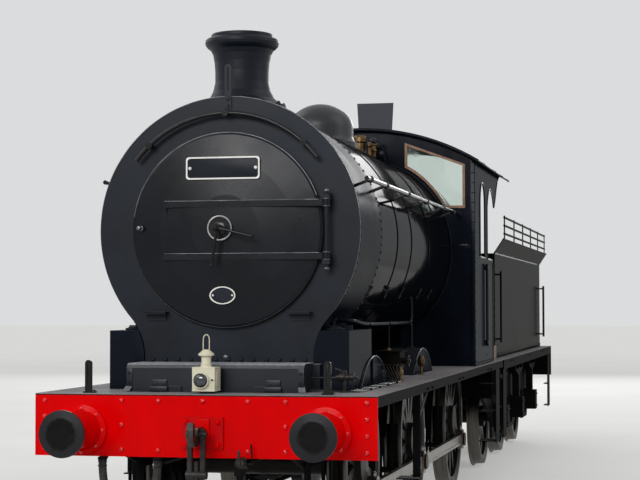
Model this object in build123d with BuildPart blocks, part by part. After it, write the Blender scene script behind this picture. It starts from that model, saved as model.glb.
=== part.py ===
"""Inside-cylinder goods locomotive with six coupled wheels and a six-wheeled tender."""

import math
import os

from build123d import *

os.makedirs("parts", exist_ok=True)

# Track and wheels, in millimetres. Z is 0 at the tips of the flanges and the front faces -Y.
flange_depth = 29
rail = flange_depth  # height of the rail tops above the flange tips
back_to_back = 1360
tyre_width = 140
tyre_depth = 62
coupled_diameter = 1403
tender_wheel_diameter = 1149
axle_radius = 92
journal_gap = 1.5
coupled_radius = coupled_diameter / 2
tender_wheel_radius = tender_wheel_diameter / 2
axle_height = rail + coupled_radius
tender_axle_height = rail + tender_wheel_radius

# Lengths along the engine and tender, measured from the front face of the front buffer beam
buffer_reach = 440
engine_length = 7980
drawbar_gap = 140
tender_length = 6760
leading_axle_at = 1640
driving_axle_at = 4080
trailing_axle_at = 6820
tender_axle_spacing = 1930
overall_length = 2 * buffer_reach + engine_length + drawbar_gap + tender_length
beam_face = -overall_length / 2 + buffer_reach


def aft(distance):
    """Place along Y of a station behind the front buffer beam's face."""
    return beam_face + distance


def high(above_rail):
    """Height of a level measured above the rail tops."""
    return rail + above_rail


tender_front_at = engine_length + drawbar_gap
tender_rear_at = tender_front_at + tender_length
tender_middle_at = tender_front_at + tender_length / 2
drawbar_pin_at = engine_length - 420
drawbar_pin_radius = 38
tender_pin_at = tender_front_at + 230

# Footplate, frames and beams
footplate_half_width = 1222
footplate_top = high(1308)
footplate_thickness = 12
footplate_under = footplate_top - footplate_thickness
valance_depth = 82
valance_thickness = 16
beam_thickness = 32
beam_bottom = high(873)
frame_thickness = 29
frame_outer = 610
frame_inner = frame_outer - frame_thickness
frame_bottom = high(760)
horn_bottom = axle_height - 281.5
horn_slot_half = 125
frame_opening_half = 560

# Smokebox, boiler and firebox
boiler_centre = high(2472.5)
front_plate_at = 676
front_plate_thickness = 22
front_plate_radius = 981
front_plate_neck = 634
neck_top = high(1550)
smokebox_radius = 940
smokebox_neck = 596
smokebox_inner_radius = 905
smokebox_rear_at = 1800
door_radius = 717
door_opening_radius = 672
door_rim_height = 48
door_dome_height = 52
door_thickness = 14
hinge_x = 750
hinge_at = 590
dart_x = -34
dart_at = 556
dart_height = high(2482)
cladding_radius = 930
barrel_rear_at = 5040
firebox_rear_at = 7050
firebox_half_width = 545
firebox_bottom = axle_height + 178.5
band_width = 60
band_height = 6
seat_gap = 0.3  # left between a curved piece and the curve that it sits on

# Cab
cab_front_at = 5840
cab_inset = 44  # from the footplate's edge to the cab's side
cab_half_width = footplate_half_width - cab_inset
cab_plate = 12
cab_side_rear_at = 7420
cab_waist = high(2415)
roof_crown = high(3726)
roof_radius = 2342
roof_thickness = 12
roof_front_at = 5770
roof_rear_at = 8760
roof_half_width = footplate_half_width
floor_top = high(1470)
floor_thickness = 50

# Coupled wheels, cranks and rods
crank_throw = 305
inside_throw = 330
rod_plane = 862  # middle of the coupling rods' thickness
rod_thickness = 62
rod_pin_radius = 55
pin_gap = 2
right_crank_angle = -45  # above the line that points to the rear, seen from the right side
left_crank_angle = right_crank_angle + 90

cab_step_at = 7600
lamp_x = -17
lamp_at = 150

# Tender
tender_frame_outer = 955
tank_half_width = 1080
tank_front_at = tender_front_at + 360
tank_rear_at = tender_rear_at - 320
tank_top = high(2525)
coping_top = high(2690)
coping_half_width = 1188
rail_top = high(2985)

# Splashers and sandboxes
splasher_inner = 640
splasher_outer = 912
splasher_plate = 8
splasher_clearance = 96.5
splasher_radius = coupled_radius + flange_depth + splasher_clearance
sandbox_rear_at = 1545


def across(distance):
    """Upright plane that faces the front at a station: x to the right and z up."""
    return Plane.XZ.offset(-aft(distance))


def along(x):
    """Upright plane that faces the right-hand side: y to the rear and z up."""
    return Plane.YZ.offset(x)


def block(x, y, z, mode=Mode.ADD):
    """Rectangular block between a low and a high value on each axis."""
    with Locations(((x[0] + x[1]) / 2, (y[0] + y[1]) / 2, (z[0] + z[1]) / 2)):
        Box(x[1] - x[0], y[1] - y[0], z[1] - z[0], mode=mode)


def pair(side, inner, outer):
    """Low and high values of x for a piece on one side, given as distances from the middle."""
    return (min(side * inner, side * outer), max(side * inner, side * outer))


def stretch(start, end):
    """Pair of places along Y for two stations."""
    return (aft(start), aft(end))


def round_bar(start, end, radius, mode=Mode.ADD):
    """Round bar between two points."""
    run = Vector(*end) - Vector(*start)
    with Locations(Plane(origin=start, z_dir=run)):
        Cylinder(radius, run.length, align=(Align.CENTER, Align.CENTER, Align.MIN), mode=mode)


def outline(plane, points):
    """Straight-sided face on a plane."""
    with BuildSketch(plane) as face:
        with BuildLine():
            Polyline(*points, close=True)
        make_face()
    return face.sketch


def turned(origin, direction, points, mode=Mode.ADD):
    """Turned solid: points are radius and distance along the direction."""
    direction = Vector(*direction)
    radial = Vector(0, 0, 1) if abs(direction.Z) < 0.5 else Vector(1, 0, 0)
    plane = Plane(origin=origin, x_dir=radial, z_dir=radial.cross(direction))
    revolve(outline(plane, points), axis=Axis(origin, direction), mode=mode)


def keyhole(plane, radius, neck, neck_height, foot):
    """Circle about the boiler's centre that runs by reverse curves into a straight neck."""
    drop = boiler_centre - neck_height
    curve = (drop**2 + neck**2 - radius**2) / (2 * (radius - neck))
    reach = radius + curve
    touch_x = (neck + curve) * radius / reach
    touch_z = boiler_centre - drop * radius / reach
    slope = math.atan2(drop, neck + curve)
    middle = slope / 2
    bend_x = neck + curve - curve * math.cos(middle)
    bend_z = neck_height + curve * math.sin(middle)
    with BuildSketch(plane) as face:
        with BuildLine():
            Polyline((-neck, neck_height), (-neck, foot), (neck, foot), (neck, neck_height))
            ThreePointArc((neck, neck_height), (bend_x, bend_z), (touch_x, touch_z))
            ThreePointArc((touch_x, touch_z), (0, boiler_centre + radius), (-touch_x, touch_z))
            ThreePointArc((-touch_x, touch_z), (-bend_x, bend_z), (-neck, neck_height))
        make_face()
    return face.sketch


def roof_arc(plane, half_width, under, top, foot):
    """Face bounded above by the roof's curve, lowered by an amount, down to a foot height."""
    radius = roof_radius - under
    centre = roof_crown - roof_radius
    edge = centre + math.sqrt(radius**2 - half_width**2)
    with BuildSketch(plane) as face:
        with BuildLine():
            ThreePointArc((-half_width, edge), (0, centre + radius), (half_width, edge))
            if top:
                inner = radius - top
                low = centre + math.sqrt(inner**2 - half_width**2)
                Line((half_width, edge), (half_width, low))
                ThreePointArc((half_width, low), (0, centre + inner), (-half_width, low))
                Line((-half_width, low), (-half_width, edge))
            else:
                Polyline((half_width, edge), (half_width, foot), (-half_width, foot), (-half_width, edge))
        make_face()
    return face.sketch


tyre_inner = back_to_back / 2
tyre_outer = tyre_inner + tyre_width
coupled_axles = (leading_axle_at, driving_axle_at, trailing_axle_at)
tender_axles = tuple(tender_middle_at + n * tender_axle_spacing for n in (-1, 0, 1))

pieces = {}


def keep(label, builder):
    """Names a finished piece and lists it for writing."""
    builder.part.label = label
    pieces[label] = builder.part


# Engine frames: a plate on each side with a horn gap round each axlebox
with BuildPart() as side_frames:
    front_edge = beam_thickness
    rear_edge = engine_length - beam_thickness
    extrude(
        outline(
            along(frame_inner),
            [
                (aft(front_edge), footplate_under),
                (aft(front_edge), beam_bottom + 20),
                (aft(front_edge + 480), frame_bottom),
                (aft(rear_edge - 380), frame_bottom),
                (aft(rear_edge), beam_bottom),
                (aft(rear_edge), footplate_under),
            ],
        ),
        amount=frame_thickness,
    )
    for axle in coupled_axles:
        extrude(
            outline(
                along(frame_inner),
                [
                    (aft(axle - 330), frame_bottom),
                    (aft(axle - 215), horn_bottom),
                    (aft(axle + 215), horn_bottom),
                    (aft(axle + 330), frame_bottom),
                ],
            ),
            amount=frame_thickness,
        )
        block(
            (frame_inner, frame_outer),
            stretch(axle - horn_slot_half, axle + horn_slot_half),
            (horn_bottom + 34, axle_height + 175),
            mode=Mode.SUBTRACT,
        )
    # Guard iron in front of the leading wheel
    iron = outline(
        across(470),
        [(frame_outer, high(1150)), (frame_outer + 26, high(1150)), (frame_outer + 26, high(640)),
         (788, high(420)), (788, high(72)), (758, high(72)), (758, high(404)), (frame_outer, high(614))],
    )
    extrude(iron, amount=-110)
    mirror(about=Plane.YZ)
keep("side_frames", side_frames)

# Drag box at the rear, with the mouth for the drawbar and the pin that it turns on
with BuildPart() as drag_box:
    block((120 - footplate_half_width, footplate_half_width - 120), stretch(rear_edge, engine_length),
          (beam_bottom, footplate_under))
    for low in (high(1190), high(960)):
        block((-frame_inner, frame_inner), stretch(rear_edge - 588, rear_edge), (low, low + 25))
    block((-190, 190), stretch(rear_edge, engine_length), (high(1000), high(1176)), mode=Mode.SUBTRACT)
    round_bar((0, aft(drawbar_pin_at), high(960)), (0, aft(drawbar_pin_at), high(1215)), drawbar_pin_radius)
keep("drag_box", drag_box)

# Buffer beam, with the slot that the drawhook passes through
hook_height = high(1045)
hook_eye_radius = 24
with BuildPart() as front_buffer_beam:
    block(
        (-footplate_half_width, footplate_half_width),
        stretch(0, beam_thickness),
        (beam_bottom, footplate_under),
    )
    block((-26, 26), stretch(0, beam_thickness), (hook_height - 62, hook_height + 62), mode=Mode.SUBTRACT)
keep("front_buffer_beam", front_buffer_beam)

# Running plate with its valance, open over the wheels, the motion and the firebox
wheel_slot_half = math.sqrt((coupled_radius + 45) ** 2 - (footplate_under - axle_height) ** 2)
with BuildPart() as running_plate:
    block(
        (-footplate_half_width, footplate_half_width),
        stretch(0, engine_length),
        (footplate_under, footplate_top),
    )
    block(
        (footplate_half_width - valance_thickness, footplate_half_width),
        stretch(beam_thickness, engine_length),
        (footplate_under - valance_depth + footplate_thickness, footplate_under),
    )
    block(
        (-footplate_half_width, -footplate_half_width + valance_thickness),
        stretch(beam_thickness, engine_length),
        (footplate_under - valance_depth + footplate_thickness, footplate_under),
    )
    block(
        (-frame_opening_half, frame_opening_half),
        stretch(smokebox_rear_at + 40, firebox_rear_at + 10),
        (footplate_under, footplate_top),
        mode=Mode.SUBTRACT,
    )
    for axle in coupled_axles:
        for edge in (-tyre_outer - 25, tyre_inner - 25):
            block(
                (edge, edge + tyre_width + 50),
                stretch(axle - wheel_slot_half, axle + wheel_slot_half),
                (footplate_under, footplate_top),
                mode=Mode.SUBTRACT,
            )
keep("running_plate", running_plate)

# Cab steps, and the step iron with its brace behind the leading wheels
hanger_x = footplate_half_width - valance_thickness
with BuildPart() as engine_steps:
    for x in (-1, 1):
        block(pair(x, hanger_x - 12, hanger_x), stretch(cab_step_at - 165, cab_step_at + 165),
              (high(420), footplate_under))
        for tread in (high(440), high(760), high(1060)):
            block(pair(x, 1010, hanger_x), stretch(cab_step_at - 165, cab_step_at + 165),
                  (tread - 10, tread))
        block(pair(x, hanger_x - 60, hanger_x), stretch(1990, 2004), (high(560), footplate_under))
        block(pair(x, 1030, hanger_x), stretch(1890, 2110), (high(560), high(570)))
        block(pair(x, hanger_x - 40, hanger_x), stretch(2612, 2676),
              (footplate_under - 12, footplate_under))
        round_bar((x * (hanger_x - 20), aft(1997), high(990)),
                  (x * (hanger_x - 20), aft(2640), footplate_under - 10), 11)
keep("engine_steps", engine_steps)

# Lamp irons: slotted straps on feet
iron_half_width = 26
iron_slot_width = 14


def slotted_iron(x, front, back, foot, top, slot):
    """Upright strap with a rounded top and a slot of a given length below it."""
    shoulder = top - iron_half_width
    with BuildSketch(across(front)) as face:
        with Locations((x, (foot + shoulder) / 2)):
            Rectangle(2 * iron_half_width, shoulder - foot)
        with Locations((x, shoulder)):
            Circle(iron_half_width)
        with Locations((x, shoulder - slot / 2)):
            SlotOverall(slot, iron_slot_width, rotation=90, mode=Mode.SUBTRACT)
    extrude(face.sketch, amount=front - back)


with BuildPart() as lamp_irons:
    for x in (-860, 860):
        slotted_iron(x, 84, 96, footplate_top, high(1540), 150)
        block((x - 40, x + 40), stretch(84, 150), (footplate_top, footplate_top + 12))
    block((lamp_x - 26, lamp_x + 26), stretch(lamp_at + 78, lamp_at + 90), (footplate_top, high(1480)))
    block((lamp_x - 40, lamp_x + 40), stretch(lamp_at - 30, lamp_at + 90),
          (footplate_top, footplate_top + 12))
keep("lamp_irons", lamp_irons)

# Buffers: a flanged housing on the beam and a crowned head on its shank
buffer_x = 870
buffer_height = high(1054)
buffer_shank_radius = 58
with BuildPart() as buffer_housings:
    turned(
        (buffer_x, aft(0), buffer_height),
        (0, -1, 0),
        [(buffer_shank_radius + 2, 0), (177, 0), (177, 26), (140, 34), (118, 230), (118, 262),
         (buffer_shank_radius + 2, 262)],
    )
    mirror(about=Plane.YZ)
keep("buffer_housings", buffer_housings)

with BuildPart() as buffer_heads:
    turned(
        (buffer_x, aft(0), buffer_height),
        (0, -1, 0),
        [(0, 0), (buffer_shank_radius, 0), (buffer_shank_radius, 385), (90, 396), (162, 405),
         (162, 424), (110, 434), (60, buffer_reach), (0, buffer_reach)],
    )
    mirror(about=Plane.YZ)
keep("buffer_heads", buffer_heads)

# Drawhook on its plate


def hook_face(plane, beam_y, outward):
    """Side of a drawhook whose shank leaves the beam's face."""
    points = [(-12, -45), (-12, 45), (190, 45), (205, 5), (235, -12), (262, 8), (268, 78),
              (298, 88), (322, 40), (318, -30), (270, -78), (190, -80), (100, -45)]
    with BuildSketch(plane) as face:
        with BuildLine():
            Polyline(*[(beam_y + outward * reach, hook_height + rise) for reach, rise in points],
                     close=True)
        make_face()
        with Locations((beam_y + outward * 150, hook_height)):
            Circle(hook_eye_radius, mode=Mode.SUBTRACT)
    return face.sketch


with BuildPart() as front_drawhook:
    block((-150, 150), stretch(-24, 0), (hook_height - 109, hook_height + 109))
    extrude(hook_face(along(-22), aft(0), -1), amount=44)
keep("front_drawhook", front_drawhook)

# Screw coupling: a pin through the hook, two links, the screw with its trunnions, and the end bow
link_x = 46
link_radius = 16
coupling_y = aft(-150)
upper_nut = high(770)
lower_nut = high(560)
bow_bottom = high(330)
with BuildPart() as front_screw_coupling:
    for height in (upper_nut, lower_nut):
        round_bar((-72, coupling_y, height), (72, coupling_y, height), 30)
    round_bar((0, coupling_y, lower_nut - 90), (0, coupling_y, upper_nut + 90), 20)
    for x in (-link_x, link_x):
        block((x - link_radius, x + link_radius), (coupling_y - 20, coupling_y + 20),
              (upper_nut, hook_height + 38))
        block((x - link_radius, x + link_radius), (coupling_y - 16, coupling_y + 16),
              (bow_bottom, lower_nut))
    block((-link_x, link_x), (coupling_y - 16, coupling_y + 16), (bow_bottom, bow_bottom + 30))
    round_bar((-72, coupling_y, hook_height), (72, coupling_y, hook_height), hook_eye_radius - 0.5)
    round_bar((-150, coupling_y, high(665)), (0, coupling_y, high(665)), 10)
    round_bar((-172, coupling_y, high(665)), (-128, coupling_y, high(665)), 30)
keep("front_screw_coupling", front_screw_coupling)

# Brake pipe and steam pipe below the beam, each with its fitting
pipe_level = high(838)
hose_top = high(850)
hose_near_x = -322
hose_far_x = -722
hose_y = aft(-6)
steam_pipe_x = 278
steam_pipe_y = aft(-48)
with BuildPart() as front_brake_pipes:
    round_bar((hose_near_x, hose_y, hose_top), (hose_near_x, hose_y, hose_top + 18), 33)
    block((hose_near_x - 20, hose_near_x + 20), stretch(-20, 60), (hose_top + 6, beam_bottom))
    round_bar((hose_far_x, hose_y, hose_top), (hose_far_x, hose_y, hose_top + 18), 33)
    block((hose_far_x - 20, hose_far_x + 20), stretch(-20, 60), (hose_top + 6, beam_bottom))
    round_bar((hose_near_x, aft(50), pipe_level), (hose_near_x, aft(640), pipe_level), 28)
    block((hose_near_x - 28, hose_near_x + 28), stretch(22, 60), (pipe_level - 28, beam_bottom))
    round_bar((steam_pipe_x, steam_pipe_y, high(600)), (steam_pipe_x, steam_pipe_y, pipe_level), 22)
    round_bar((steam_pipe_x, steam_pipe_y, high(762)), (steam_pipe_x, steam_pipe_y, high(862)), 40)
    round_bar((steam_pipe_x, steam_pipe_y, pipe_level), (steam_pipe_x, aft(640), pipe_level), 22)
    round_bar((steam_pipe_x, steam_pipe_y, pipe_level), (steam_pipe_x + 95, steam_pipe_y, pipe_level), 8)
    round_bar((steam_pipe_x + 90, steam_pipe_y, pipe_level), (steam_pipe_x + 78, steam_pipe_y, high(975)),
              6)
    for x in (hose_near_x, steam_pipe_x):
        block((x - 8, x + 8), stretch(500, 560), (pipe_level, high(1060)))
        block(pair(math.copysign(1, x), abs(x), frame_inner), stretch(500, 560), (high(1044), high(1060)))
keep("front_brake_pipes", front_brake_pipes)

# Ribbed brake hose, hung in a loop between the pipe's end and its holder
hose_radius = 28
hose_middle = (hose_near_x + hose_far_x) / 2
hose_half = (
    (200, hose_top), (200, high(750)), (176, high(640)), (112, high(552)), (38, high(510)),
)
hose_route = [(hose_middle + out, hose_y, z) for out, z in hose_half]
hose_route += [(hose_middle - out, hose_y, z) for out, z in reversed(hose_half)]


def bend_radii(points):
    """Largest arc at each corner that both of its runs leave room for."""
    radii = []
    for before, corner, after in zip(points, points[1:], points[2:]):
        first = Vector(*corner) - Vector(*before)
        second = Vector(*after) - Vector(*corner)
        half_turn = math.radians(first.get_angle(second)) / 2
        radii.append(0.45 * min(first.length, second.length) / math.tan(half_turn))
    return radii


hose_bends = bend_radii(hose_route)
with BuildPart() as brake_hose:
    with BuildLine() as hose_line:
        FilletPolyline(*hose_route, radius=hose_bends)
    hose_path = hose_line.wires()[0]
    with BuildSketch(Plane(origin=hose_path @ 0, z_dir=hose_path % 0)) as hose_section:
        Circle(hose_radius)
    sweep(hose_section.sketch, path=hose_path)
keep("brake_hose", brake_hose)

# Inside cylinders, cast together between the frames, sloping down to the driving axle
cylinder_slope = 1 / 9
cylinder_x = 300
cylinder_front_at = 720
cylinder_rear_at = 1440
block_depth = 235


def bore_height(distance):
    """Height of the cylinders' centre line at a station."""
    return axle_height + (driving_axle_at - distance) * cylinder_slope


bore_direction = Vector(0, 1, -cylinder_slope).normalized()
with BuildPart() as cylinder_block:
    extrude(
        outline(
            along(-frame_inner),
            [
                (aft(cylinder_front_at), bore_height(cylinder_front_at) - block_depth),
                (aft(cylinder_front_at), footplate_under),
                (aft(cylinder_rear_at), footplate_under),
                (aft(cylinder_rear_at), bore_height(cylinder_rear_at) - block_depth),
            ],
        ),
        amount=2 * frame_inner,
    )
    for x in (-cylinder_x, cylinder_x):
        start = Vector(x, aft(cylinder_front_at), bore_height(cylinder_front_at))
        stop = Vector(x, aft(cylinder_rear_at), bore_height(cylinder_rear_at))
        round_bar(tuple(start - bore_direction * 45), tuple(start + bore_direction * 60), 272)
        round_bar(tuple(stop - bore_direction * 60), tuple(stop + bore_direction * 40), 250)
        round_bar(tuple(stop), tuple(stop + bore_direction * 130), 85)
    block((-frame_inner, frame_inner), stretch(cylinder_front_at - 60, cylinder_rear_at + 60),
          (footplate_under, footplate_under + 400), mode=Mode.SUBTRACT)
keep("cylinder_block", cylinder_block)

sandbox_front_at = front_plate_at - 16

# Cover over the front of the cylinders, standing on the running plate before the smokebox
with BuildPart() as cylinder_cover:
    cover = outline(
        along(-650),
        [(aft(300), footplate_top), (aft(300), high(1478)), (aft(312), high(1500)), (aft(334), high(1510)),
         (aft(front_plate_at), high(1510)), (aft(front_plate_at), footplate_top)],
    )
    extrude(cover, amount=1300)
    for x in (-705, 650):
        block((x, x + 55), stretch(560, sandbox_front_at - 1), (footplate_top, high(1502)))
    for x in (-330, 290):
        block((x, x + 90), stretch(284, 300), (footplate_top, footplate_top + 42))
keep("cylinder_cover", cylinder_cover)

# Smokebox: a riveted wrapper on its saddle, hollow behind the door, with the blast pipe inside
with BuildPart() as smokebox:
    wrapper = keyhole(across(front_plate_at + front_plate_thickness), smokebox_radius, smokebox_neck,
                      neck_top, footplate_top)
    extrude(wrapper, amount=-(smokebox_rear_at - front_plate_at - front_plate_thickness))
    with BuildSketch(across(front_plate_at)) as hollow:
        with Locations((0, boiler_centre)):
            Circle(smokebox_inner_radius)
    extrude(hollow.sketch, amount=-(smokebox_rear_at - front_plate_at - 25), mode=Mode.SUBTRACT)
    with Locations((0, aft(1073), boiler_centre + smokebox_radius)):
        Cylinder(200, 160, mode=Mode.SUBTRACT)
    turned(
        (0, aft(1073), boiler_centre - smokebox_inner_radius - 20),
        (0, 0, 1),
        [(0, 0), (150, 0), (150, 60), (95, 110), (80, 700), (62, 820), (0, 820)],
    )
keep("smokebox", smokebox)

# Front plate of the smokebox, with the hinge post, footsteps and top lamp iron
with BuildPart() as smokebox_front:
    plate = keyhole(across(front_plate_at), front_plate_radius, front_plate_neck, neck_top, high(1510))
    extrude(plate, amount=-front_plate_thickness)
    with BuildSketch(across(front_plate_at)) as doorway:
        with Locations((0, boiler_centre)):
            Circle(door_opening_radius)
    extrude(doorway.sketch, amount=-front_plate_thickness, mode=Mode.SUBTRACT)
    block((-front_plate_neck, front_plate_neck),
          stretch(front_plate_at, front_plate_at + front_plate_thickness),
          (footplate_top, high(1510)))
    # Lugs that carry the hinge post of the door
    for height in (high(2700), high(2232)):
        block((hinge_x - 26, hinge_x + 26), stretch(hinge_at - 26, front_plate_at),
              (height - 16, height + 16))
    round_bar((hinge_x, aft(hinge_at), high(2190)), (hinge_x, aft(hinge_at), high(2742)), 15)
    # Footsteps below the door and the lamp iron at the top
    for x in (-630, 450):
        block((x, x + 180), stretch(front_plate_at - 95, front_plate_at), (high(1862), high(1872)))
        block((x + 20, x + 160), stretch(front_plate_at - 12, front_plate_at), (high(1812), high(1862)))
    slotted_iron(0, front_plate_at - 12, front_plate_at, high(3360), high(3690), 170)
keep("smokebox_front", smokebox_front)

# Door: dished plate with a rolled rim, two straps round the hinge post, and the blank number plate
with BuildPart() as smokebox_door:
    face = front_plate_at - seat_gap
    turned(
        (0, aft(face), boiler_centre),
        (0, -1, 0),
        [
            (door_radius, 0), (door_radius, door_rim_height - 18), (door_radius - 6, door_rim_height - 6),
            (door_radius - 22, door_rim_height), (500, door_rim_height + door_dome_height * 0.5),
            (250, door_rim_height + door_dome_height * 0.88), (0, door_rim_height + door_dome_height),
            (0, door_rim_height + door_dome_height - door_thickness),
            (250, door_rim_height + door_dome_height * 0.88 - door_thickness),
            (500, door_rim_height + door_dome_height * 0.5 - door_thickness),
            (door_radius - 26, door_rim_height - door_thickness), (door_radius - 26, 0),
        ],
    )
    for height in (high(2660), high(2277)):
        rise = abs(height - boiler_centre)
        reach = math.sqrt((door_radius - 4) ** 2 - rise**2)
        block((-466, hinge_x - 30), stretch(face - door_rim_height - 52, face - door_rim_height + 6),
              (height - 24, height + 24))
        with Locations((hinge_x, aft(hinge_at), height)):
            Cylinder(30, 48)
        block((reach - 60, hinge_x), stretch(hinge_at - 12, hinge_at + 12), (height - 24, height + 24))
        with Locations((hinge_x, aft(hinge_at), height)):
            Cylinder(15 + 1, 48, mode=Mode.SUBTRACT)
    round_bar((dart_x, aft(586), dart_height), (dart_x, aft(dart_at), dart_height), 90)
keep("smokebox_door", smokebox_door)

# The dart's shaft with its two handles and the nut that ends it
with BuildPart() as door_handles:
    round_bar((dart_x, aft(dart_at), dart_height), (dart_x, aft(dart_at - 118), dart_height), 17)
    round_bar((dart_x, aft(dart_at - 60), dart_height), (dart_x, aft(dart_at - 84), dart_height), 30)
    round_bar((dart_x, aft(dart_at - 92), dart_height), (dart_x, aft(dart_at - 112), dart_height), 26)
    round_bar((dart_x, aft(dart_at - 102), dart_height),
              (dart_x + 262, aft(dart_at - 102), dart_height - 65), 11)
    round_bar((dart_x, aft(dart_at - 72), dart_height), (dart_x - 40, aft(dart_at - 72), dart_height - 268),
              11)
keep("door_handles", door_handles)

# Chimney: turned casting with a lipped cap, its skirt cut to the smokebox
chimney_at = 1073
with BuildPart() as chimney:
    turned(
        (0, aft(chimney_at), boiler_centre + smokebox_radius - 112.5),
        (0, 0, 1),
        [
            (185, 0), (335, 0), (335, 125), (288, 145), (246, 178), (219, 230), (203, 300),
            (203, 380), (208, 450), (219, 510), (238, 545), (258, 560), (272, 575), (279, 596),
            (276, 616), (264, 628), (242, 634), (234, 642), (233, 658), (226, 666), (200, 666),
            (185, 600),
        ],
    )
    with Locations(Location((0, aft(chimney_at), boiler_centre), (90, 0, 0))):
        Cylinder(smokebox_radius + seat_gap, 900, mode=Mode.SUBTRACT)
keep("chimney", chimney)

# Boiler barrel in its cladding, with the bands that hold it
with BuildPart() as boiler:
    turned(
        (0, aft(smokebox_rear_at), boiler_centre),
        (0, 1, 0),
        [(0, 0), (cladding_radius, 0), (cladding_radius, barrel_rear_at - smokebox_rear_at),
         (0, barrel_rear_at - smokebox_rear_at)],
    )
    for band_at in (smokebox_rear_at + 20, 2600, 3330, 4320, barrel_rear_at - band_width - 10):
        turned(
            (0, aft(band_at), boiler_centre),
            (0, 1, 0),
            [(cladding_radius - 5, 0), (cladding_radius + band_height, 0),
             (cladding_radius + band_height, band_width), (cladding_radius - 5, band_width)],
        )
keep("boiler", boiler)

# Firebox: round top carried down between the frames
with BuildPart() as firebox:
    shell = keyhole(across(barrel_rear_at), cladding_radius, firebox_half_width, high(1640), firebox_bottom)
    extrude(shell, amount=-(firebox_rear_at - barrel_rear_at))
keep("firebox", firebox)

# Ashpan under the firebox, with a damper opening at each end
ashpan_front_at = barrel_rear_at + 80
ashpan_rear_at = trailing_axle_at - 200
ashpan_bottom = axle_height - 141.5
with BuildPart() as ashpan:
    extrude(
        outline(
            along(-520),
            [(aft(ashpan_front_at), firebox_bottom), (aft(ashpan_front_at), ashpan_bottom + 60),
             (aft(ashpan_front_at + 580), ashpan_bottom), (aft(ashpan_rear_at - 320), ashpan_bottom),
             (aft(ashpan_rear_at), ashpan_bottom + 140), (aft(ashpan_rear_at), firebox_bottom)],
        ),
        amount=1040,
    )
    block((-420, 420), stretch(ashpan_front_at, ashpan_front_at + 60),
          (ashpan_bottom + 90, firebox_bottom - 50), mode=Mode.SUBTRACT)
keep("ashpan", ashpan)

# Dome: straight sides, a rounded shoulder and a shallow crown, on a flared skirt
dome_at = 3900
dome_radius = 300
dome_skirt = 338
dome_shoulder = 160
dome_foot = boiler_centre + cladding_radius - 102.5
dome_side_top = dome_foot + 242
dome_top = dome_foot + 462
shoulder_x = dome_radius - dome_shoulder
crown_rise = dome_top - dome_side_top
crown_radius = (shoulder_x**2 + crown_rise**2 - dome_shoulder**2) / (2 * (crown_rise - dome_shoulder))
crown_z = dome_top - crown_radius
lean = math.atan2(shoulder_x, dome_side_top - crown_z)
join = (crown_radius * math.sin(lean), crown_z + crown_radius * math.cos(lean))
shoulder_turn = math.radians(90) - (math.radians(90) - lean) / 2
shoulder_mid = (shoulder_x + dome_shoulder * math.sin(shoulder_turn),
                dome_side_top + dome_shoulder * math.cos(shoulder_turn))
with BuildPart() as dome:
    with BuildSketch(across(dome_at)) as dome_shape:
        with BuildLine():
            Polyline((0, dome_top), (0, dome_foot), (dome_skirt, dome_foot), (dome_skirt, dome_foot + 104))
            ThreePointArc((dome_skirt, dome_foot + 104), (dome_radius + 12, dome_foot + 124),
                          (dome_radius, dome_foot + 164))
            Line((dome_radius, dome_foot + 164), (dome_radius, dome_side_top))
            ThreePointArc((dome_radius, dome_side_top), shoulder_mid, join)
            ThreePointArc(join,
                          (crown_radius * math.sin(lean / 2), crown_z + crown_radius * math.cos(lean / 2)),
                          (0, dome_top))
        make_face()
    revolve(dome_shape.sketch, axis=Axis((0, aft(dome_at), 0), (0, 0, 1)))
    with Locations(Location((0, aft(dome_at), boiler_centre), (90, 0, 0))):
        Cylinder(cladding_radius + seat_gap, 900, mode=Mode.SUBTRACT)
keep("dome", dome)

# Safety valves on the firebox, and the whistle before the cab
valve_at = 5330
whistle_at = 5560
whistle_x = 190
cladding_top = boiler_centre + cladding_radius
with BuildPart() as safety_valves:
    for x in (-95, 95):
        turned(
            (x, aft(valve_at), cladding_top - 20),
            (0, 0, 1),
            [(0, 0), (72, 0), (72, 45), (48, 60), (48, 150), (66, 165), (66, 205), (52, 225), (0, 232)],
        )
    block((-150, 150), stretch(valve_at - 90, valve_at + 90), (cladding_top - 30, cladding_top + 14))
    turned(
        (whistle_x, aft(whistle_at), cladding_top - 30),
        (0, 0, 1),
        [(0, 0), (26, 0), (26, 90), (34, 100), (34, 120), (28, 128), (28, 215), (16, 228), (0, 230)],
    )
    with Locations(Location((0, aft(valve_at), boiler_centre), (90, 0, 0))):
        Cylinder(cladding_radius + seat_gap, 900, mode=Mode.SUBTRACT)
keep("safety_valves", safety_valves)

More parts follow.
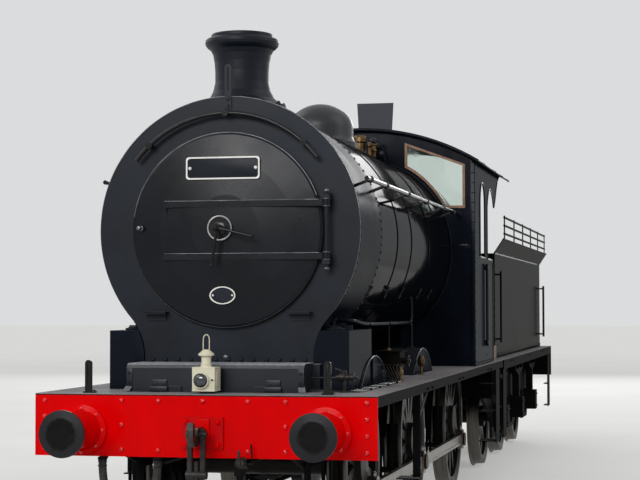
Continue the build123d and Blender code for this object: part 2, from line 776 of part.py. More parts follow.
# Handrails along the boiler, on knobs
rail_x = 1000
rail_height = high(2848)
arch_radius = 850
arch_half = math.radians(53)
arch_y = aft(front_plate_at - 75)
with BuildPart() as boiler_handrails:
    round_bar((rail_x, aft(830), rail_height), (rail_x, aft(cab_front_at), rail_height), 17)
    rise = math.atan2(rail_height - boiler_centre, rail_x)
    for knob_at, radius in ((980, smokebox_radius), (1650, smokebox_radius), (2700, cladding_radius),
                            (3750, cladding_radius), (4800, cladding_radius), (5500, cladding_radius)):
        foot = radius + seat_gap
        start = (foot * math.cos(rise), aft(knob_at), boiler_centre + foot * math.sin(rise))
        round_bar(start, (rail_x, aft(knob_at), rail_height), 12)
        with Locations((rail_x, aft(knob_at), rail_height)):
            Sphere(27)
    mirror(about=Plane.YZ)
    # Rail that arches over the smokebox door
    first = Vector(arch_radius * math.sin(arch_half), arch_y,
                   boiler_centre + arch_radius * math.cos(arch_half))
    tangent = Vector(-math.cos(arch_half), 0, math.sin(arch_half))
    with BuildSketch(Plane(origin=first, z_dir=tangent)) as arch_section:
        Circle(16)
    revolve(arch_section.sketch, axis=Axis((0, arch_y, boiler_centre), (0, -1, 0)),
            revolution_arc=2 * math.degrees(arch_half))
    for angle in (-43, 0, 43):
        x = arch_radius * math.sin(math.radians(angle))
        z = boiler_centre + arch_radius * math.cos(math.radians(angle))
        round_bar((x, aft(front_plate_at), z), (x, arch_y + 20, z), 13)
        round_bar((x, arch_y + 24, z), (x, arch_y - 24, z), 25)
keep("boiler_handrails", boiler_handrails)

# Sandboxes beside the smokebox
with BuildPart() as sandboxes:
    block((600, 900), stretch(sandbox_front_at, sandbox_rear_at), (footplate_top, high(1739)))
    extrude(
        keyhole(across(front_plate_at - 40), front_plate_radius + 3, front_plate_neck + 3, neck_top,
                footplate_top - 10),
        amount=-1000,
        mode=Mode.SUBTRACT,
    )
    block((600, 653), stretch(sandbox_front_at, front_plate_at + 2), (footplate_top, high(1512)),
          mode=Mode.SUBTRACT)
    # Room for the leading wheel
    with BuildSketch(along(500)) as wheel_room:
        with Locations((aft(leading_axle_at), axle_height)):
            Circle(splasher_radius)
    extrude(wheel_room.sketch, amount=splasher_outer - 26 - 500, mode=Mode.SUBTRACT)
    with Locations((800, aft(1000), high(1739))):
        Cylinder(60, 36, align=(Align.CENTER, Align.CENTER, Align.MIN))
    mirror(about=Plane.YZ)
keep("sandboxes", sandboxes)

# Splashers over the coupled wheels; the sandbox covers the front of the leading one
with BuildPart() as splashers:
    for axle in coupled_axles:
        for radius, inset, mode in ((splasher_radius + splasher_plate, 0, Mode.ADD),
                                    (splasher_radius, splasher_plate, Mode.SUBTRACT)):
            with BuildSketch(along(splasher_inner + inset)) as arch_face:
                with Locations((aft(axle), axle_height)):
                    Circle(radius)
                with Locations((aft(axle), footplate_top)):
                    Rectangle(2 * radius, 2 * radius, align=(Align.CENTER, Align.MAX), mode=Mode.SUBTRACT)
            extrude(arch_face.sketch, amount=splasher_outer - splasher_inner - 2 * inset, mode=mode)
    block((splasher_inner - 10, splasher_outer + 10), stretch(front_plate_at, sandbox_rear_at),
          (footplate_top - 10, high(1700)), mode=Mode.SUBTRACT)
    mirror(about=Plane.YZ)
keep("splashers", splashers)

# Motion plate between the frames
motion_plate_at = 2600
with BuildPart() as motion_plate:
    block((-frame_inner, frame_inner), stretch(motion_plate_at, motion_plate_at + 28),
          (high(700), high(1240)))
    for x in (-cylinder_x, cylinder_x):
        block((x - 105, x + 105), stretch(motion_plate_at, motion_plate_at + 28),
              (bore_height(motion_plate_at) - 90, bore_height(motion_plate_at) + 90), mode=Mode.SUBTRACT)
    # Slide bars, from the cylinders' rear covers to the plate
    bar_stop = motion_plate_at + 14
    for x in (-cylinder_x, cylinder_x):
        for offset in (-118, 118):
            bar_start = cylinder_rear_at + 42 + (offset + 24) * cylinder_slope
            extrude(
                outline(
                    along(x - 38),
                    [
                        (aft(bar_start), bore_height(bar_start) + offset - 24),
                        (aft(bar_start), bore_height(bar_start) + offset + 24),
                        (aft(bar_stop), bore_height(bar_stop) + offset + 24),
                        (aft(bar_stop), bore_height(bar_stop) + offset - 24),
                    ],
                ),
                amount=76,
            )
keep("motion_plate", motion_plate)

# Axleboxes in the horn gaps
box_half_height = 140
with BuildPart() as engine_axleboxes:
    for axle in coupled_axles:
        for x in (-1, 1):
            block(
                pair(x, 552, 655),
                stretch(axle - horn_slot_half + 2, axle + horn_slot_half - 2),
                (axle_height - box_half_height, axle_height + box_half_height),
            )
        round_bar((-700, aft(axle), axle_height), (700, aft(axle), axle_height), axle_radius + journal_gap,
                  mode=Mode.SUBTRACT)
    # Leaf springs hung below the boxes, their ends carried by the frames
    for axle in coupled_axles:
        for x in (-1, 1):
            side = pair(x, 556, 636)
            for leaf, half_length in enumerate((460, 380, 300, 220, 140)):
                top = horn_bottom - 34 - leaf * 16
                block(side, stretch(axle - half_length, axle + half_length), (top - 16, top))
            block(side, stretch(axle - 55, axle + 55), (horn_bottom - 130, horn_bottom - 8))
            for end in (-440, 440):
                block((x * 595 - 12, x * 595 + 12), stretch(axle + end - 20, axle + end + 20),
                      (horn_bottom - 34, frame_bottom))
            for inner, outer in ((556, 577), (614, 636)):
                block(pair(x, inner, outer), stretch(axle - 30, axle + 30),
                      (horn_bottom - 20, axle_height - box_half_height))
keep("engine_axleboxes", engine_axleboxes)

# Brake gear: a hanger and block before each wheel, cross beams and the pull rod
shoe_gap = 9
brake_beam_height = axle_height - 201.5
hanger_pin_height = axle_height + 458.5
shoe_depth = 46
hanger_offset = coupled_radius + shoe_gap + shoe_depth + 22
with BuildPart() as engine_brake_gear:
    for axle in coupled_axles:
        with BuildSketch(along(tyre_inner + 34)) as shoe:
            with Locations((aft(axle), axle_height)):
                Circle(coupled_radius + shoe_gap + shoe_depth)
                Circle(coupled_radius + shoe_gap, mode=Mode.SUBTRACT)
            with Locations((aft(axle - coupled_radius - 60), axle_height)):
                Rectangle(260, 380, mode=Mode.INTERSECT)
        extrude(shoe.sketch, amount=86)
        hanger_y = aft(axle - hanger_offset)
        block((742, 772), (hanger_y - 24, hanger_y + 24), (brake_beam_height + 20, hanger_pin_height + 20))
        round_bar((frame_outer, hanger_y, hanger_pin_height), (778, hanger_y, hanger_pin_height), 20)
        round_bar((0, hanger_y, brake_beam_height), (790, hanger_y, brake_beam_height), 26)
    mirror(about=Plane.YZ)
    round_bar((0, aft(leading_axle_at - hanger_offset), brake_beam_height),
              (0, aft(trailing_axle_at - hanger_offset), brake_beam_height), 18)
keep("engine_brake_gear", engine_brake_gear)

# Cab front with its two spectacle windows and the hole for the firebox
window_left = 462
window_right = 1078
window_low = high(2905)
window_curve = cladding_radius + 42
roof_centre = roof_crown - roof_radius


def spectacle(plane, margin):
    """Window outline that follows the roof above and the boiler below."""
    left = window_left + margin
    right = window_right - margin
    low = window_low + margin
    curve = window_curve + margin
    drop = 100 + margin
    top_left = roof_centre + math.sqrt((roof_radius - drop) ** 2 - left**2)
    top_right = roof_centre + math.sqrt((roof_radius - drop) ** 2 - right**2)
    low_x = math.sqrt(curve**2 - (low - boiler_centre) ** 2)
    left_z = boiler_centre + math.sqrt(curve**2 - left**2)
    mid = (math.atan2(left_z - boiler_centre, left) + math.atan2(low - boiler_centre, low_x)) / 2
    with BuildSketch(plane) as face:
        with BuildLine():
            Polyline((left, left_z), (left, top_left), (right, top_right), (right, low), (low_x, low))
            ThreePointArc((low_x, low), (curve * math.cos(mid), boiler_centre + curve * math.sin(mid)),
                          (left, left_z))
        make_face()
    return face.sketch


with BuildPart() as cab_front:
    extrude(roof_arc(across(cab_front_at), cab_half_width, roof_thickness, 0, footplate_top),
            amount=-cab_plate)
    extrude(
        keyhole(across(cab_front_at - 5), cladding_radius + seat_gap, firebox_half_width + seat_gap,
                high(1640), footplate_top - 10),
        amount=-(cab_plate + 10),
        mode=Mode.SUBTRACT,
    )
    extrude(spectacle(across(cab_front_at), 0), amount=-cab_plate, mode=Mode.SUBTRACT)
    mirror(about=Plane.YZ, mode=Mode.INTERSECT)
keep("cab_front", cab_front)

# Spectacle frames and their glass
with BuildPart() as window_frames:
    extrude(spectacle(across(cab_front_at - 6), 0.5), amount=-(cab_plate + 10))
    extrude(spectacle(across(cab_front_at - 6), 26), amount=-(cab_plate + 10), mode=Mode.SUBTRACT)
    mirror(about=Plane.YZ)
keep("window_frames", window_frames)

with BuildPart() as window_glass:
    extrude(spectacle(across(cab_front_at + 2), 26.3), amount=-6)
    mirror(about=Plane.YZ)
keep("window_glass", window_glass)

# Cab sides: sheet with a round-headed window, then the cut-out, then the roof side swept back
eaves = roof_centre + math.sqrt((roof_radius - roof_thickness) ** 2 - cab_half_width**2)
side_front_at = cab_front_at + cab_plate
with BuildPart() as cab_sides:
    with BuildSketch(along(cab_half_width - cab_plate)) as sheet:
        with BuildLine():
            Polyline((aft(side_front_at), footplate_top), (aft(cab_side_rear_at), footplate_top),
                     (aft(cab_side_rear_at), cab_waist - 130))
            ThreePointArc((aft(cab_side_rear_at), cab_waist - 130),
                          (aft(cab_side_rear_at - 38), cab_waist - 38),
                          (aft(cab_side_rear_at - 130), cab_waist))
            Polyline((aft(cab_side_rear_at - 130), cab_waist), (aft(6900), cab_waist),
                     (aft(6900), high(2960)))
            ThreePointArc((aft(6900), high(2960)), (aft(7170), high(3185)), (aft(7500), high(3060)))
            Polyline((aft(7500), high(3060)), (aft(7560), high(3000)), (aft(7660), high(3080)))
            ThreePointArc((aft(7660), high(3080)), (aft(7890), high(3300)), (aft(8140), eaves - 2))
            Polyline((aft(8140), eaves - 2), (aft(8140), eaves), (aft(side_front_at), eaves),
                     (aft(side_front_at), footplate_top))
        make_face()
        with Locations((aft(6475), high(2700))):
            Rectangle(440, 560, mode=Mode.SUBTRACT)
        with Locations((aft(6475), high(2980))):
            Circle(220, mode=Mode.SUBTRACT)
    extrude(sheet.sketch, amount=cab_plate)
    mirror(about=Plane.YZ)
keep("cab_sides", cab_sides)

# Roof with its rain strips, the frame of the ventilator and the opening below it
ventilator_half = 180
ventilator_at = 6720
ventilator_length = 270
with BuildPart() as cab_roof:
    extrude(roof_arc(across(roof_front_at), roof_half_width, 0, roof_thickness, 0),
            amount=-(roof_rear_at - roof_front_at))
    frame_top = roof_crown + 60
    block((-ventilator_half - 25, ventilator_half + 25),
          stretch(ventilator_at - 10, ventilator_at + ventilator_length + 40), (roof_crown - 14, frame_top))
    block((-ventilator_half, ventilator_half),
          stretch(ventilator_at + 15, ventilator_at + ventilator_length + 15),
          (roof_crown - 40, frame_top + 1), mode=Mode.SUBTRACT)
keep("cab_roof", cab_roof)

# Ventilator lid, stored open on its front hinge
lid_pin_radius = 9
lid_hinge_height = frame_top + lid_pin_radius + 0.5
with BuildPart() as roof_ventilator:
    extrude(
        outline(
            across(ventilator_at - 4),
            [(-ventilator_half - 2, lid_hinge_height + 12), (ventilator_half + 2, lid_hinge_height + 12),
             (ventilator_half + 18, lid_hinge_height + ventilator_length + 30),
             (-ventilator_half - 18, lid_hinge_height + ventilator_length + 30)],
        ),
        amount=-8,
    )
    round_bar((-ventilator_half, aft(ventilator_at), lid_hinge_height),
              (ventilator_half, aft(ventilator_at), lid_hinge_height), lid_pin_radius)
    block((-ventilator_half, ventilator_half), stretch(ventilator_at - 4, ventilator_at + 4),
          (lid_hinge_height, lid_hinge_height + 14))
keep("roof_ventilator", roof_ventilator)

# Cab floor and seat boxes
with BuildPart() as cab_floor:
    block((-1150, 1150), stretch(firebox_rear_at + 5, engine_length),
          (floor_top - floor_thickness, floor_top))
    for x in (-1, 1):
        block(pair(x, 950, 1150), stretch(firebox_rear_at + 5, engine_length),
              (footplate_top, floor_top - floor_thickness))
        block(pair(x, 925, 1150), stretch(side_front_at + 40, 7560), (footplate_top, high(1760)))
    block((-925, 925), stretch(engine_length - 60, engine_length),
          (footplate_top, floor_top - floor_thickness))
    for x in (-1, 1):
        block(pair(x, splasher_inner - 20, splasher_outer + 10),
              stretch(firebox_rear_at - 5, trailing_axle_at + 600), (footplate_top, floor_top + 1),
              mode=Mode.SUBTRACT)
keep("cab_floor", cab_floor)

# Fittings on the firebox back: fire door, regulator, gauges and reversing lever
with BuildPart() as backhead_fittings:
    back_at = firebox_rear_at
    block((-230, 230), stretch(back_at, back_at + 40), (high(1640), high(2020)))
    round_bar((0, aft(back_at), high(2760)), (0, aft(back_at + 140), high(2760)), 55)
    round_bar((-260, aft(back_at + 120), high(2680)), (260, aft(back_at + 120), high(2840)), 16)
    for x in (-330, 330):
        round_bar((x, aft(back_at + 60), high(2350)), (x, aft(back_at + 60), high(2700)), 20)
        for height in (high(2370), high(2680)):
            round_bar((x, aft(back_at), height), (x, aft(back_at + 75), height), 24)
    for x, height in ((-170, 3160), (170, 3160), (0, 3020)):
        round_bar((x, aft(back_at), high(height)), (x, aft(back_at + 60), high(height)), 75)
keep("backhead_fittings", backhead_fittings)

# Upright handrails at the cab openings
with BuildPart() as cab_handrails:
    round_bar((1200, aft(6700), high(1490)), (1200, aft(6700), high(2360)), 16)
    for height in (high(1530), high(2320)):
        round_bar((cab_half_width, aft(6700), height), (1200, aft(6700), height), 11)
    mirror(about=Plane.YZ)
keep("cab_handrails", cab_handrails)

# Oil lamp at the middle iron
lamp_y = aft(lamp_at)
with BuildPart() as front_lamp:
    block((lamp_x - 81, lamp_x + 81), (lamp_y - 75, lamp_y + 78), (high(1325), high(1492)))
    turned(
        (lamp_x, lamp_y, high(0)),
        (0, 0, 1),
        [(0, 1490), (44, 1492), (34, 1510), (34, 1568), (56, 1572), (56, 1584), (24, 1612), (0, 1616)],
    )
    round_bar((lamp_x - 14, lamp_y - 75, high(1402)), (lamp_x - 14, lamp_y - 96, high(1402)), 56)
keep("front_lamp", front_lamp)

# Lubricator on the right-hand running plate
with BuildPart() as lubricators:
    block((830, 990), stretch(2330, 2560), (high(1400), high(1545)))
    block((870, 950), stretch(2370, 2520), (footplate_top, high(1400)))
    block((800, 1010), stretch(2300, 2590), (high(1545), high(1553)))
    round_bar((990, aft(2440), high(1470)), (1030, aft(2440), high(1470)), 26)
keep("lubricators", lubricators)


# Wheels: tyre and rim, tapered spokes, boss, crank boss and pin
def wheel_side(y, radius, spokes, crank_angle=None, balance=0, axle_z=0):
    """One wheel on the right-hand side, added to the part that is being built."""
    rim_inner = radius - tyre_depth - 40
    centre = (0, y, axle_z)
    turned(
        centre,
        (1, 0, 0),
        [
            (rim_inner, tyre_inner + 8), (radius - tyre_depth, tyre_inner),
            (radius + flange_depth - 8, tyre_inner), (radius + flange_depth, tyre_inner + 9),
            (radius + flange_depth, tyre_inner + 20), (radius + 5, tyre_inner + 34),
            (radius - 3, tyre_outer), (radius - tyre_depth, tyre_outer), (rim_inner, tyre_outer - 18),
        ],
    )
    boss_radius = 165 if crank_angle is not None else 135
    turned(centre, (1, 0, 0),
           [(0, tyre_inner + 6), (boss_radius, tyre_inner + 6), (boss_radius - 12, tyre_outer + 6),
            (0, tyre_outer + 6)])
    for n in range(spokes):
        turn = math.radians(360 / spokes * (n + 0.5))
        along_spoke = Vector(0, math.cos(turn), math.sin(turn))
        sideways = Vector(0, -math.sin(turn), math.cos(turn))
        hub_end = Vector(*centre) + along_spoke * (boss_radius - 25)
        rim_end = Vector(*centre) + along_spoke * (rim_inner + 20)
        corners = [hub_end - sideways * 42, rim_end - sideways * 29, rim_end + sideways * 29,
                   hub_end + sideways * 42]
        extrude(
            outline(along(tyre_inner + 42), [(corner.Y, corner.Z) for corner in corners]),
            amount=56,
        )
    if crank_angle is not None:
        turn = math.radians(crank_angle)
        pin_y = y + crank_throw * math.cos(turn)
        pin_z = axle_z + crank_throw * math.sin(turn)
        with BuildSketch(along(tyre_inner + 30)) as crank_web:
            with Locations((pin_y, pin_z)):
                Circle(96)
            with Locations(Location(((y + pin_y) / 2, (axle_z + pin_z) / 2), crank_angle)):
                Rectangle(crank_throw, 190)
        extrude(crank_web.sketch, amount=tyre_outer + 6 - tyre_inner - 30)
        round_bar((tyre_outer, pin_y, pin_z), (rod_plane + rod_thickness / 2 + 22, pin_y, pin_z),
                  rod_pin_radius)
        round_bar((rod_plane + rod_thickness / 2 + 6, pin_y, pin_z),
                  (rod_plane + rod_thickness / 2 + 22, pin_y, pin_z),
                  rod_pin_radius + 14)
    if balance:
        opposite = crank_angle + 180
        with BuildSketch(along(tyre_inner + 36)) as weight:
            with Locations((y, axle_z)):
                Circle(rim_inner + 12)
            reach = Vector(math.cos(math.radians(opposite)), math.sin(math.radians(opposite)))
            cut_at = rim_inner - balance
            with Locations(Location((y + reach.X * (cut_at - 900), axle_z + reach.Y * (cut_at - 900)),
                                    opposite)):
                Rectangle(1800, 1800, mode=Mode.SUBTRACT)
        extrude(weight.sketch, amount=70)


def crank_for(sign):
    """Crank angle of one side's wheels."""
    return right_crank_angle if sign > 0 else left_crank_angle


for label, axle, balance in (("leading_wheels", leading_axle_at, 110),
                             ("driving_wheels", driving_axle_at, 190),
                             ("trailing_wheels", trailing_axle_at, 110)):
    with BuildPart() as right_wheel:
        wheel_side(aft(axle), coupled_radius, 14, right_crank_angle, balance, axle_height)
    with BuildPart() as left_wheel:
        wheel_side(aft(axle), coupled_radius, 14, left_crank_angle, balance, axle_height)
    with BuildPart() as wheelset:
        add(right_wheel.part)
        add(left_wheel.part.mirror(Plane.YZ))
        round_bar((-tyre_inner - 20, aft(axle), axle_height), (tyre_inner + 20, aft(axle), axle_height),
                  axle_radius)
        if label == "driving_wheels":
            for x, angle in ((cylinder_x, right_crank_angle + 180), (-cylinder_x, left_crank_angle + 180)):
                turn = math.radians(angle)
                pin_y = aft(axle) + inside_throw * math.cos(turn)
                pin_z = axle_height + inside_throw * math.sin(turn)
                round_bar((x - 60, aft(axle), axle_height), (x + 60, aft(axle), axle_height),
                          axle_radius + 2, mode=Mode.SUBTRACT)
                round_bar((x - 60, pin_y, pin_z), (x + 60, pin_y, pin_z), 100)
                for web in (x - 160, x + 56):
                    with BuildSketch(along(web)) as web_face:
                        between = ((aft(axle) + pin_y) / 2, (axle_height + pin_z) / 2)
                        with Locations(Location(between, angle)):
                            SlotCenterToCenter(inside_throw, 290)
                    extrude(web_face.sketch, amount=104)
    keep(label, wheelset)

# Coupling rods: eyes at the three pins, joined by a fluted bar, with the knuckle behind the middle pin
for label, sign in (("right_coupling_rod", 1), ("left_coupling_rod", -1)):
    turn = math.radians(crank_for(sign))
    shift = crank_throw * math.cos(turn)
    pin_z = axle_height + crank_throw * math.sin(turn)
    inner_face = sign * rod_plane - rod_thickness / 2
    with BuildPart() as coupling_rod:
        with BuildSketch(along(inner_face)) as rod_face:
            for axle in coupled_axles:
                with Locations((aft(axle) + shift, pin_z)):
                    Circle(104)
        extrude(rod_face.sketch, amount=rod_thickness)
        with BuildSketch(along(inner_face + 12)) as bar_face:
            middle = (leading_axle_at + trailing_axle_at) / 2
            with Locations((aft(middle) + shift, pin_z)):
                Rectangle(trailing_axle_at - leading_axle_at, 106)
            with Locations((aft(driving_axle_at + 290) + shift, pin_z)):
                Circle(82)
        extrude(bar_face.sketch, amount=rod_thickness - 24)
        for start, end in ((leading_axle_at, driving_axle_at), (driving_axle_at + 290, trailing_axle_at)):
            for face_x in (inner_face + 12, inner_face + rod_thickness - 12 - 8):
                block((face_x, face_x + 8), (aft(start + 170) + shift, aft(end - 170) + shift),
                      (pin_z - 30, pin_z + 30), mode=Mode.SUBTRACT)
        for axle in coupled_axles:
            round_bar((inner_face - 5, aft(axle) + shift, pin_z),
                      (inner_face + rod_thickness + 5, aft(axle) + shift, pin_z),
                      rod_pin_radius + pin_gap, mode=Mode.SUBTRACT)
    keep(label, coupling_rod)

# Drawbar fixed to the tender, its eye round the pin in the engine's drag box
drawbar_height = high(1088)
with BuildPart() as drawbar:
    block((-55, 55), stretch(drawbar_pin_at, tender_pin_at), (drawbar_height - 32, drawbar_height + 32))
    with Locations((0, aft(drawbar_pin_at), drawbar_height)):
        Cylinder(95, 64)
        Cylinder(drawbar_pin_radius + 1, 65, mode=Mode.SUBTRACT)
    with Locations((0, aft(tender_pin_at), drawbar_height)):
        Cylinder(95, 64)
    with Locations((0, aft(tender_pin_at), (high(985) + high(1190)) / 2)):
        Cylinder(drawbar_pin_radius, high(1190) - high(985))
keep("drawbar", drawbar)

# Tender frames outside the wheels, with arches between the horn gaps
tender_frame_inner = tender_frame_outer - frame_thickness
tender_horn_bottom = tender_axle_height - 244.5
with BuildPart() as tender_frames:
    with BuildSketch(along(tender_frame_inner)) as tender_plate:
        with BuildLine():
            Polyline(
                (aft(tender_front_at + 30), footplate_under), (aft(tender_front_at + 30), high(900)),
                (aft(tender_axles[0] - 420), tender_axle_height - 14.5),
                (aft(tender_axles[0] - 300), tender_horn_bottom),
                (aft(tender_axles[2] + 300), tender_horn_bottom),
                (aft(tender_axles[2] + 420), tender_axle_height - 14.5),
                (aft(tender_rear_at - beam_thickness), high(900)),
                (aft(tender_rear_at - beam_thickness), footplate_under),
                close=True,
            )
        make_face()
        for n in (0, 1):
            middle = (tender_axles[n] + tender_axles[n + 1]) / 2
            with Locations((aft(middle), tender_axle_height - 14.5)):
                RectangleRounded(1130, 380, 150, mode=Mode.SUBTRACT)
            with Locations((aft(middle), tender_axle_height - 194.5)):
                Rectangle(1130, 120, mode=Mode.SUBTRACT)
        for axle in tender_axles:
            with Locations((aft(axle), tender_axle_height - 17.25)):
                Rectangle(250, 354.5, mode=Mode.SUBTRACT)
    extrude(tender_plate.sketch, amount=frame_thickness)
    mirror(about=Plane.YZ)
keep("tender_frames", tender_frames)

# Front and rear beams of the tender, with the rear drawhook and the drawbar's plates
with BuildPart() as tender_beams:
    block((-footplate_half_width + 100, footplate_half_width - 100),
          stretch(tender_front_at, tender_front_at + 30), (high(900), footplate_under))
    block((-110, 110), stretch(tender_front_at, tender_front_at + 30), (high(1020), high(1156)),
          mode=Mode.SUBTRACT)
    block((-footplate_half_width, footplate_half_width),
          stretch(tender_rear_at - beam_thickness, tender_rear_at), (beam_bottom, footplate_under))
    extrude(hook_face(along(-22), aft(tender_rear_at), 1), amount=44)
    block((-150, 150), stretch(tender_rear_at, tender_rear_at + 24), (hook_height - 109, hook_height + 109))
    for low in (high(1190), high(960)):
        block((-420, 420), stretch(tender_front_at + 30, tender_front_at + 330), (low, low + 25))
keep("tender_beams", tender_beams)

# Tender footplate with its valance and steps
with BuildPart() as tender_footplate:
    block((-footplate_half_width, footplate_half_width), stretch(tender_front_at, tender_rear_at),
          (footplate_under, footplate_top))
    for edge in (-footplate_half_width, footplate_half_width - valance_thickness):
        block((edge, edge + valance_thickness), stretch(tender_front_at, tender_rear_at - beam_thickness),
              (footplate_under - 100, footplate_under))
    hanger_x = footplate_half_width - valance_thickness
    for place in (tender_front_at + 230, tender_rear_at - 260):
        for x in (-1, 1):
            block(pair(x, hanger_x - 12, hanger_x), stretch(place - 165, place + 165),
                  (high(420), footplate_under))
            for tread in (high(440), high(760), high(1060)):
                block(pair(x, 1140, hanger_x), stretch(place - 165, place + 165), (tread - 10, tread))
keep("tender_footplate", tender_footplate)

# Tank: sides and rear round the coal space, whose floor slopes up to the rear
coal_half_width = 760
coal_floor = high(1560)
coal_rear_at = tank_rear_at - 1660
coal_level_to = tank_front_at + 2120
filler_at = tank_rear_at - 860
filler_radius = 260
filler_height = 150
with BuildPart() as tender_tank:
    block((-tank_half_width, tank_half_width), stretch(tank_front_at, tank_rear_at),
          (footplate_top, tank_top))
    coal_space = outline(
        along(-coal_half_width),
        [(aft(tank_front_at), coal_floor), (aft(coal_level_to), coal_floor),
         (aft(coal_rear_at), tank_top - 60), (aft(coal_rear_at), tank_top),
         (aft(tank_front_at), tank_top)],
    )
    extrude(coal_space, amount=2 * coal_half_width, mode=Mode.SUBTRACT)
    # Water filler with the lugs of its lid
    with Locations((0, aft(filler_at), tank_top)):
        Cylinder(filler_radius, filler_height, align=(Align.CENTER, Align.CENTER, Align.MIN))
        Cylinder(filler_radius - 12, filler_height + 1, align=(Align.CENTER, Align.CENTER, Align.MIN),
                 mode=Mode.SUBTRACT)
    for x in (-75, 53):
        block((x, x + 22), stretch(filler_at + filler_radius - 14, filler_at + filler_radius + 60),
              (tank_top + 90, tank_top + filler_height - 2))
        block((x, x + 22), stretch(filler_at + filler_radius + 18, filler_at + filler_radius + 60),
              (tank_top + 90, tank_top + filler_height + 42))
keep("tender_tank", tender_tank)

# Flared coping along the sides and rear of the tank, and the three rails above it
with BuildPart() as tender_coping:
    flare = [(tank_half_width, tank_top), (coping_half_width, coping_top),
             (coping_half_width - 12, coping_top), (tank_half_width - 14, tank_top)]
    extrude(outline(across(tank_front_at), flare), amount=-(tank_rear_at - tank_front_at))
    mirror(about=Plane.YZ)
    extrude(
        outline(
            along(-tank_half_width),
            [(aft(tank_rear_at), tank_top), (aft(tank_rear_at + 90), coping_top),
             (aft(tank_rear_at + 78), coping_top), (aft(tank_rear_at - 14), tank_top)],
        ),
        amount=2 * tank_half_width,
    )
    rail_half_width = coping_half_width - 14
    for n in range(3):
        height = coping_top + 70 + n * 95
        for x in (-rail_half_width, rail_half_width):
            round_bar((x, aft(tank_front_at + 200), height), (x, aft(tank_rear_at - 200), height), 13)
    for x in (-rail_half_width, rail_half_width):
        for post in range(6):
            place = tank_front_at + 220 + post * 1125
            block((x - 6, x + 6), stretch(place - 22, place + 22), (coping_top - 8, coping_top + 282))
keep("tender_coping", tender_coping)

# Tender buffers and coupling hook
with BuildPart() as tender_buffers:
    turned(
        (buffer_x, aft(tender_rear_at), buffer_height),
        (0, 1, 0),
        [(buffer_shank_radius + 2, 0), (177, 0), (177, 26), (140, 34), (118, 230), (118, 262),
         (buffer_shank_radius + 2, 262)],
    )
    mirror(about=Plane.YZ)
    turned(
        (buffer_x, aft(tender_rear_at), buffer_height),
        (0, 1, 0),
        [(0, 0), (buffer_shank_radius, 0), (buffer_shank_radius, 385), (90, 396), (162, 405),
         (162, 424), (110, 434), (60, buffer_reach), (0, buffer_reach)],
    )
    mirror(about=Plane.YZ)
keep("tender_buffers", tender_buffers)

# Tender axleboxes outside the frames, with their springs above
journal_radius = 70
tender_spring_low = tender_axle_height + 435.5
with BuildPart() as tender_axleboxes:
    for axle in tender_axles:
        for x in (-1, 1):
            block(pair(x, 905, 1120), stretch(axle - 122, axle + 122),
                  (tender_axle_height - 130, tender_axle_height + 140))
        round_bar((-1095, aft(axle), tender_axle_height), (1095, aft(axle), tender_axle_height),
                  journal_radius + journal_gap, mode=Mode.SUBTRACT)
    for axle in tender_axles:
        for x in (-1, 1):
            side = pair(x, tender_frame_outer + 22, tender_frame_outer + 112)
            for leaf, half_length in enumerate((130, 220, 310, 400, 480)):
                low = tender_spring_low + leaf * 16
                block(side, stretch(axle - half_length, axle + half_length), (low, low + 16))
            block(side, stretch(axle - 55, axle + 55), (tender_axle_height + 140, tender_spring_low + 100))
            for end in (-455, 455):
                block(pair(x, tender_frame_outer, tender_frame_outer + 112),
                      stretch(axle + end - 22, axle + end + 22),
                      (tender_spring_low + 80, tender_spring_low + 150))
keep("tender_axleboxes", tender_axleboxes)

# Tender wheels on their axles
tender_spokes = 12
for label, axle in zip(("tender_leading_wheels", "tender_middle_wheels", "tender_trailing_wheels"),
                       tender_axles):
    with BuildPart() as tender_wheel:
        wheel_side(aft(axle), tender_wheel_radius, tender_spokes, axle_z=tender_axle_height)
        round_bar((tyre_outer, aft(axle), tender_axle_height), (1080, aft(axle), tender_axle_height),
                  journal_radius)
    with BuildPart() as tender_wheelset:
        add(tender_wheel.part)
        mirror(about=Plane.YZ)
        round_bar((-tyre_inner - 20, aft(axle), tender_axle_height),
                  (tyre_inner + 20, aft(axle), tender_axle_height), axle_radius - 6)
    keep(label, tender_wheelset)

# Tender handrails
with BuildPart() as tender_handrails:
    for place, low, top in ((tank_front_at + 130, high(1490), high(2320)),
                            (tank_rear_at - 60, high(1455), high(2210))):
        post_x = tank_half_width + 62
        round_bar((post_x, aft(place), low), (post_x, aft(place), top), 16)
        for height in (low + 40, top - 40):
            round_bar((tank_half_width, aft(place), height), (post_x, aft(place), height), 11)
    mirror(about=Plane.YZ)
keep("tender_handrails", tender_handrails)

# Lid of the water filler, hinged at its rear
lid_hinge_z = tank_top + filler_height + 22
with BuildPart() as filler_lid:
    with Locations((0, aft(filler_at), tank_top + filler_height + seat_gap)):
        Cylinder(filler_radius + 14, 12, align=(Align.CENTER, Align.CENTER, Align.MIN))
    block((-42, 42), stretch(filler_at + filler_radius - 30, filler_at + filler_radius + 40),
          (tank_top + filler_height + 10, tank_top + filler_height + 34))
    round_bar((-50, aft(filler_at + filler_radius + 40), lid_hinge_z),
              (50, aft(filler_at + filler_radius + 40), lid_hinge_z), 14)
keep("filler_lid", filler_lid)

# Brake column with its cross handle, before the tank
column_y = aft(tank_front_at - 110)
with BuildPart() as tender_brake_column:
    round_bar((-820, column_y, footplate_top), (-820, column_y, high(2250)), 40)
    round_bar((-1010, column_y, high(2262)), (-630, column_y, high(2262)), 14)
keep("tender_brake_column", tender_brake_column)

for label, part in pieces.items():
    export_step(part, f"parts/{label}.step")
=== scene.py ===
"""Steam locomotive with tender: finishes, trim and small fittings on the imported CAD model."""

import math
import random

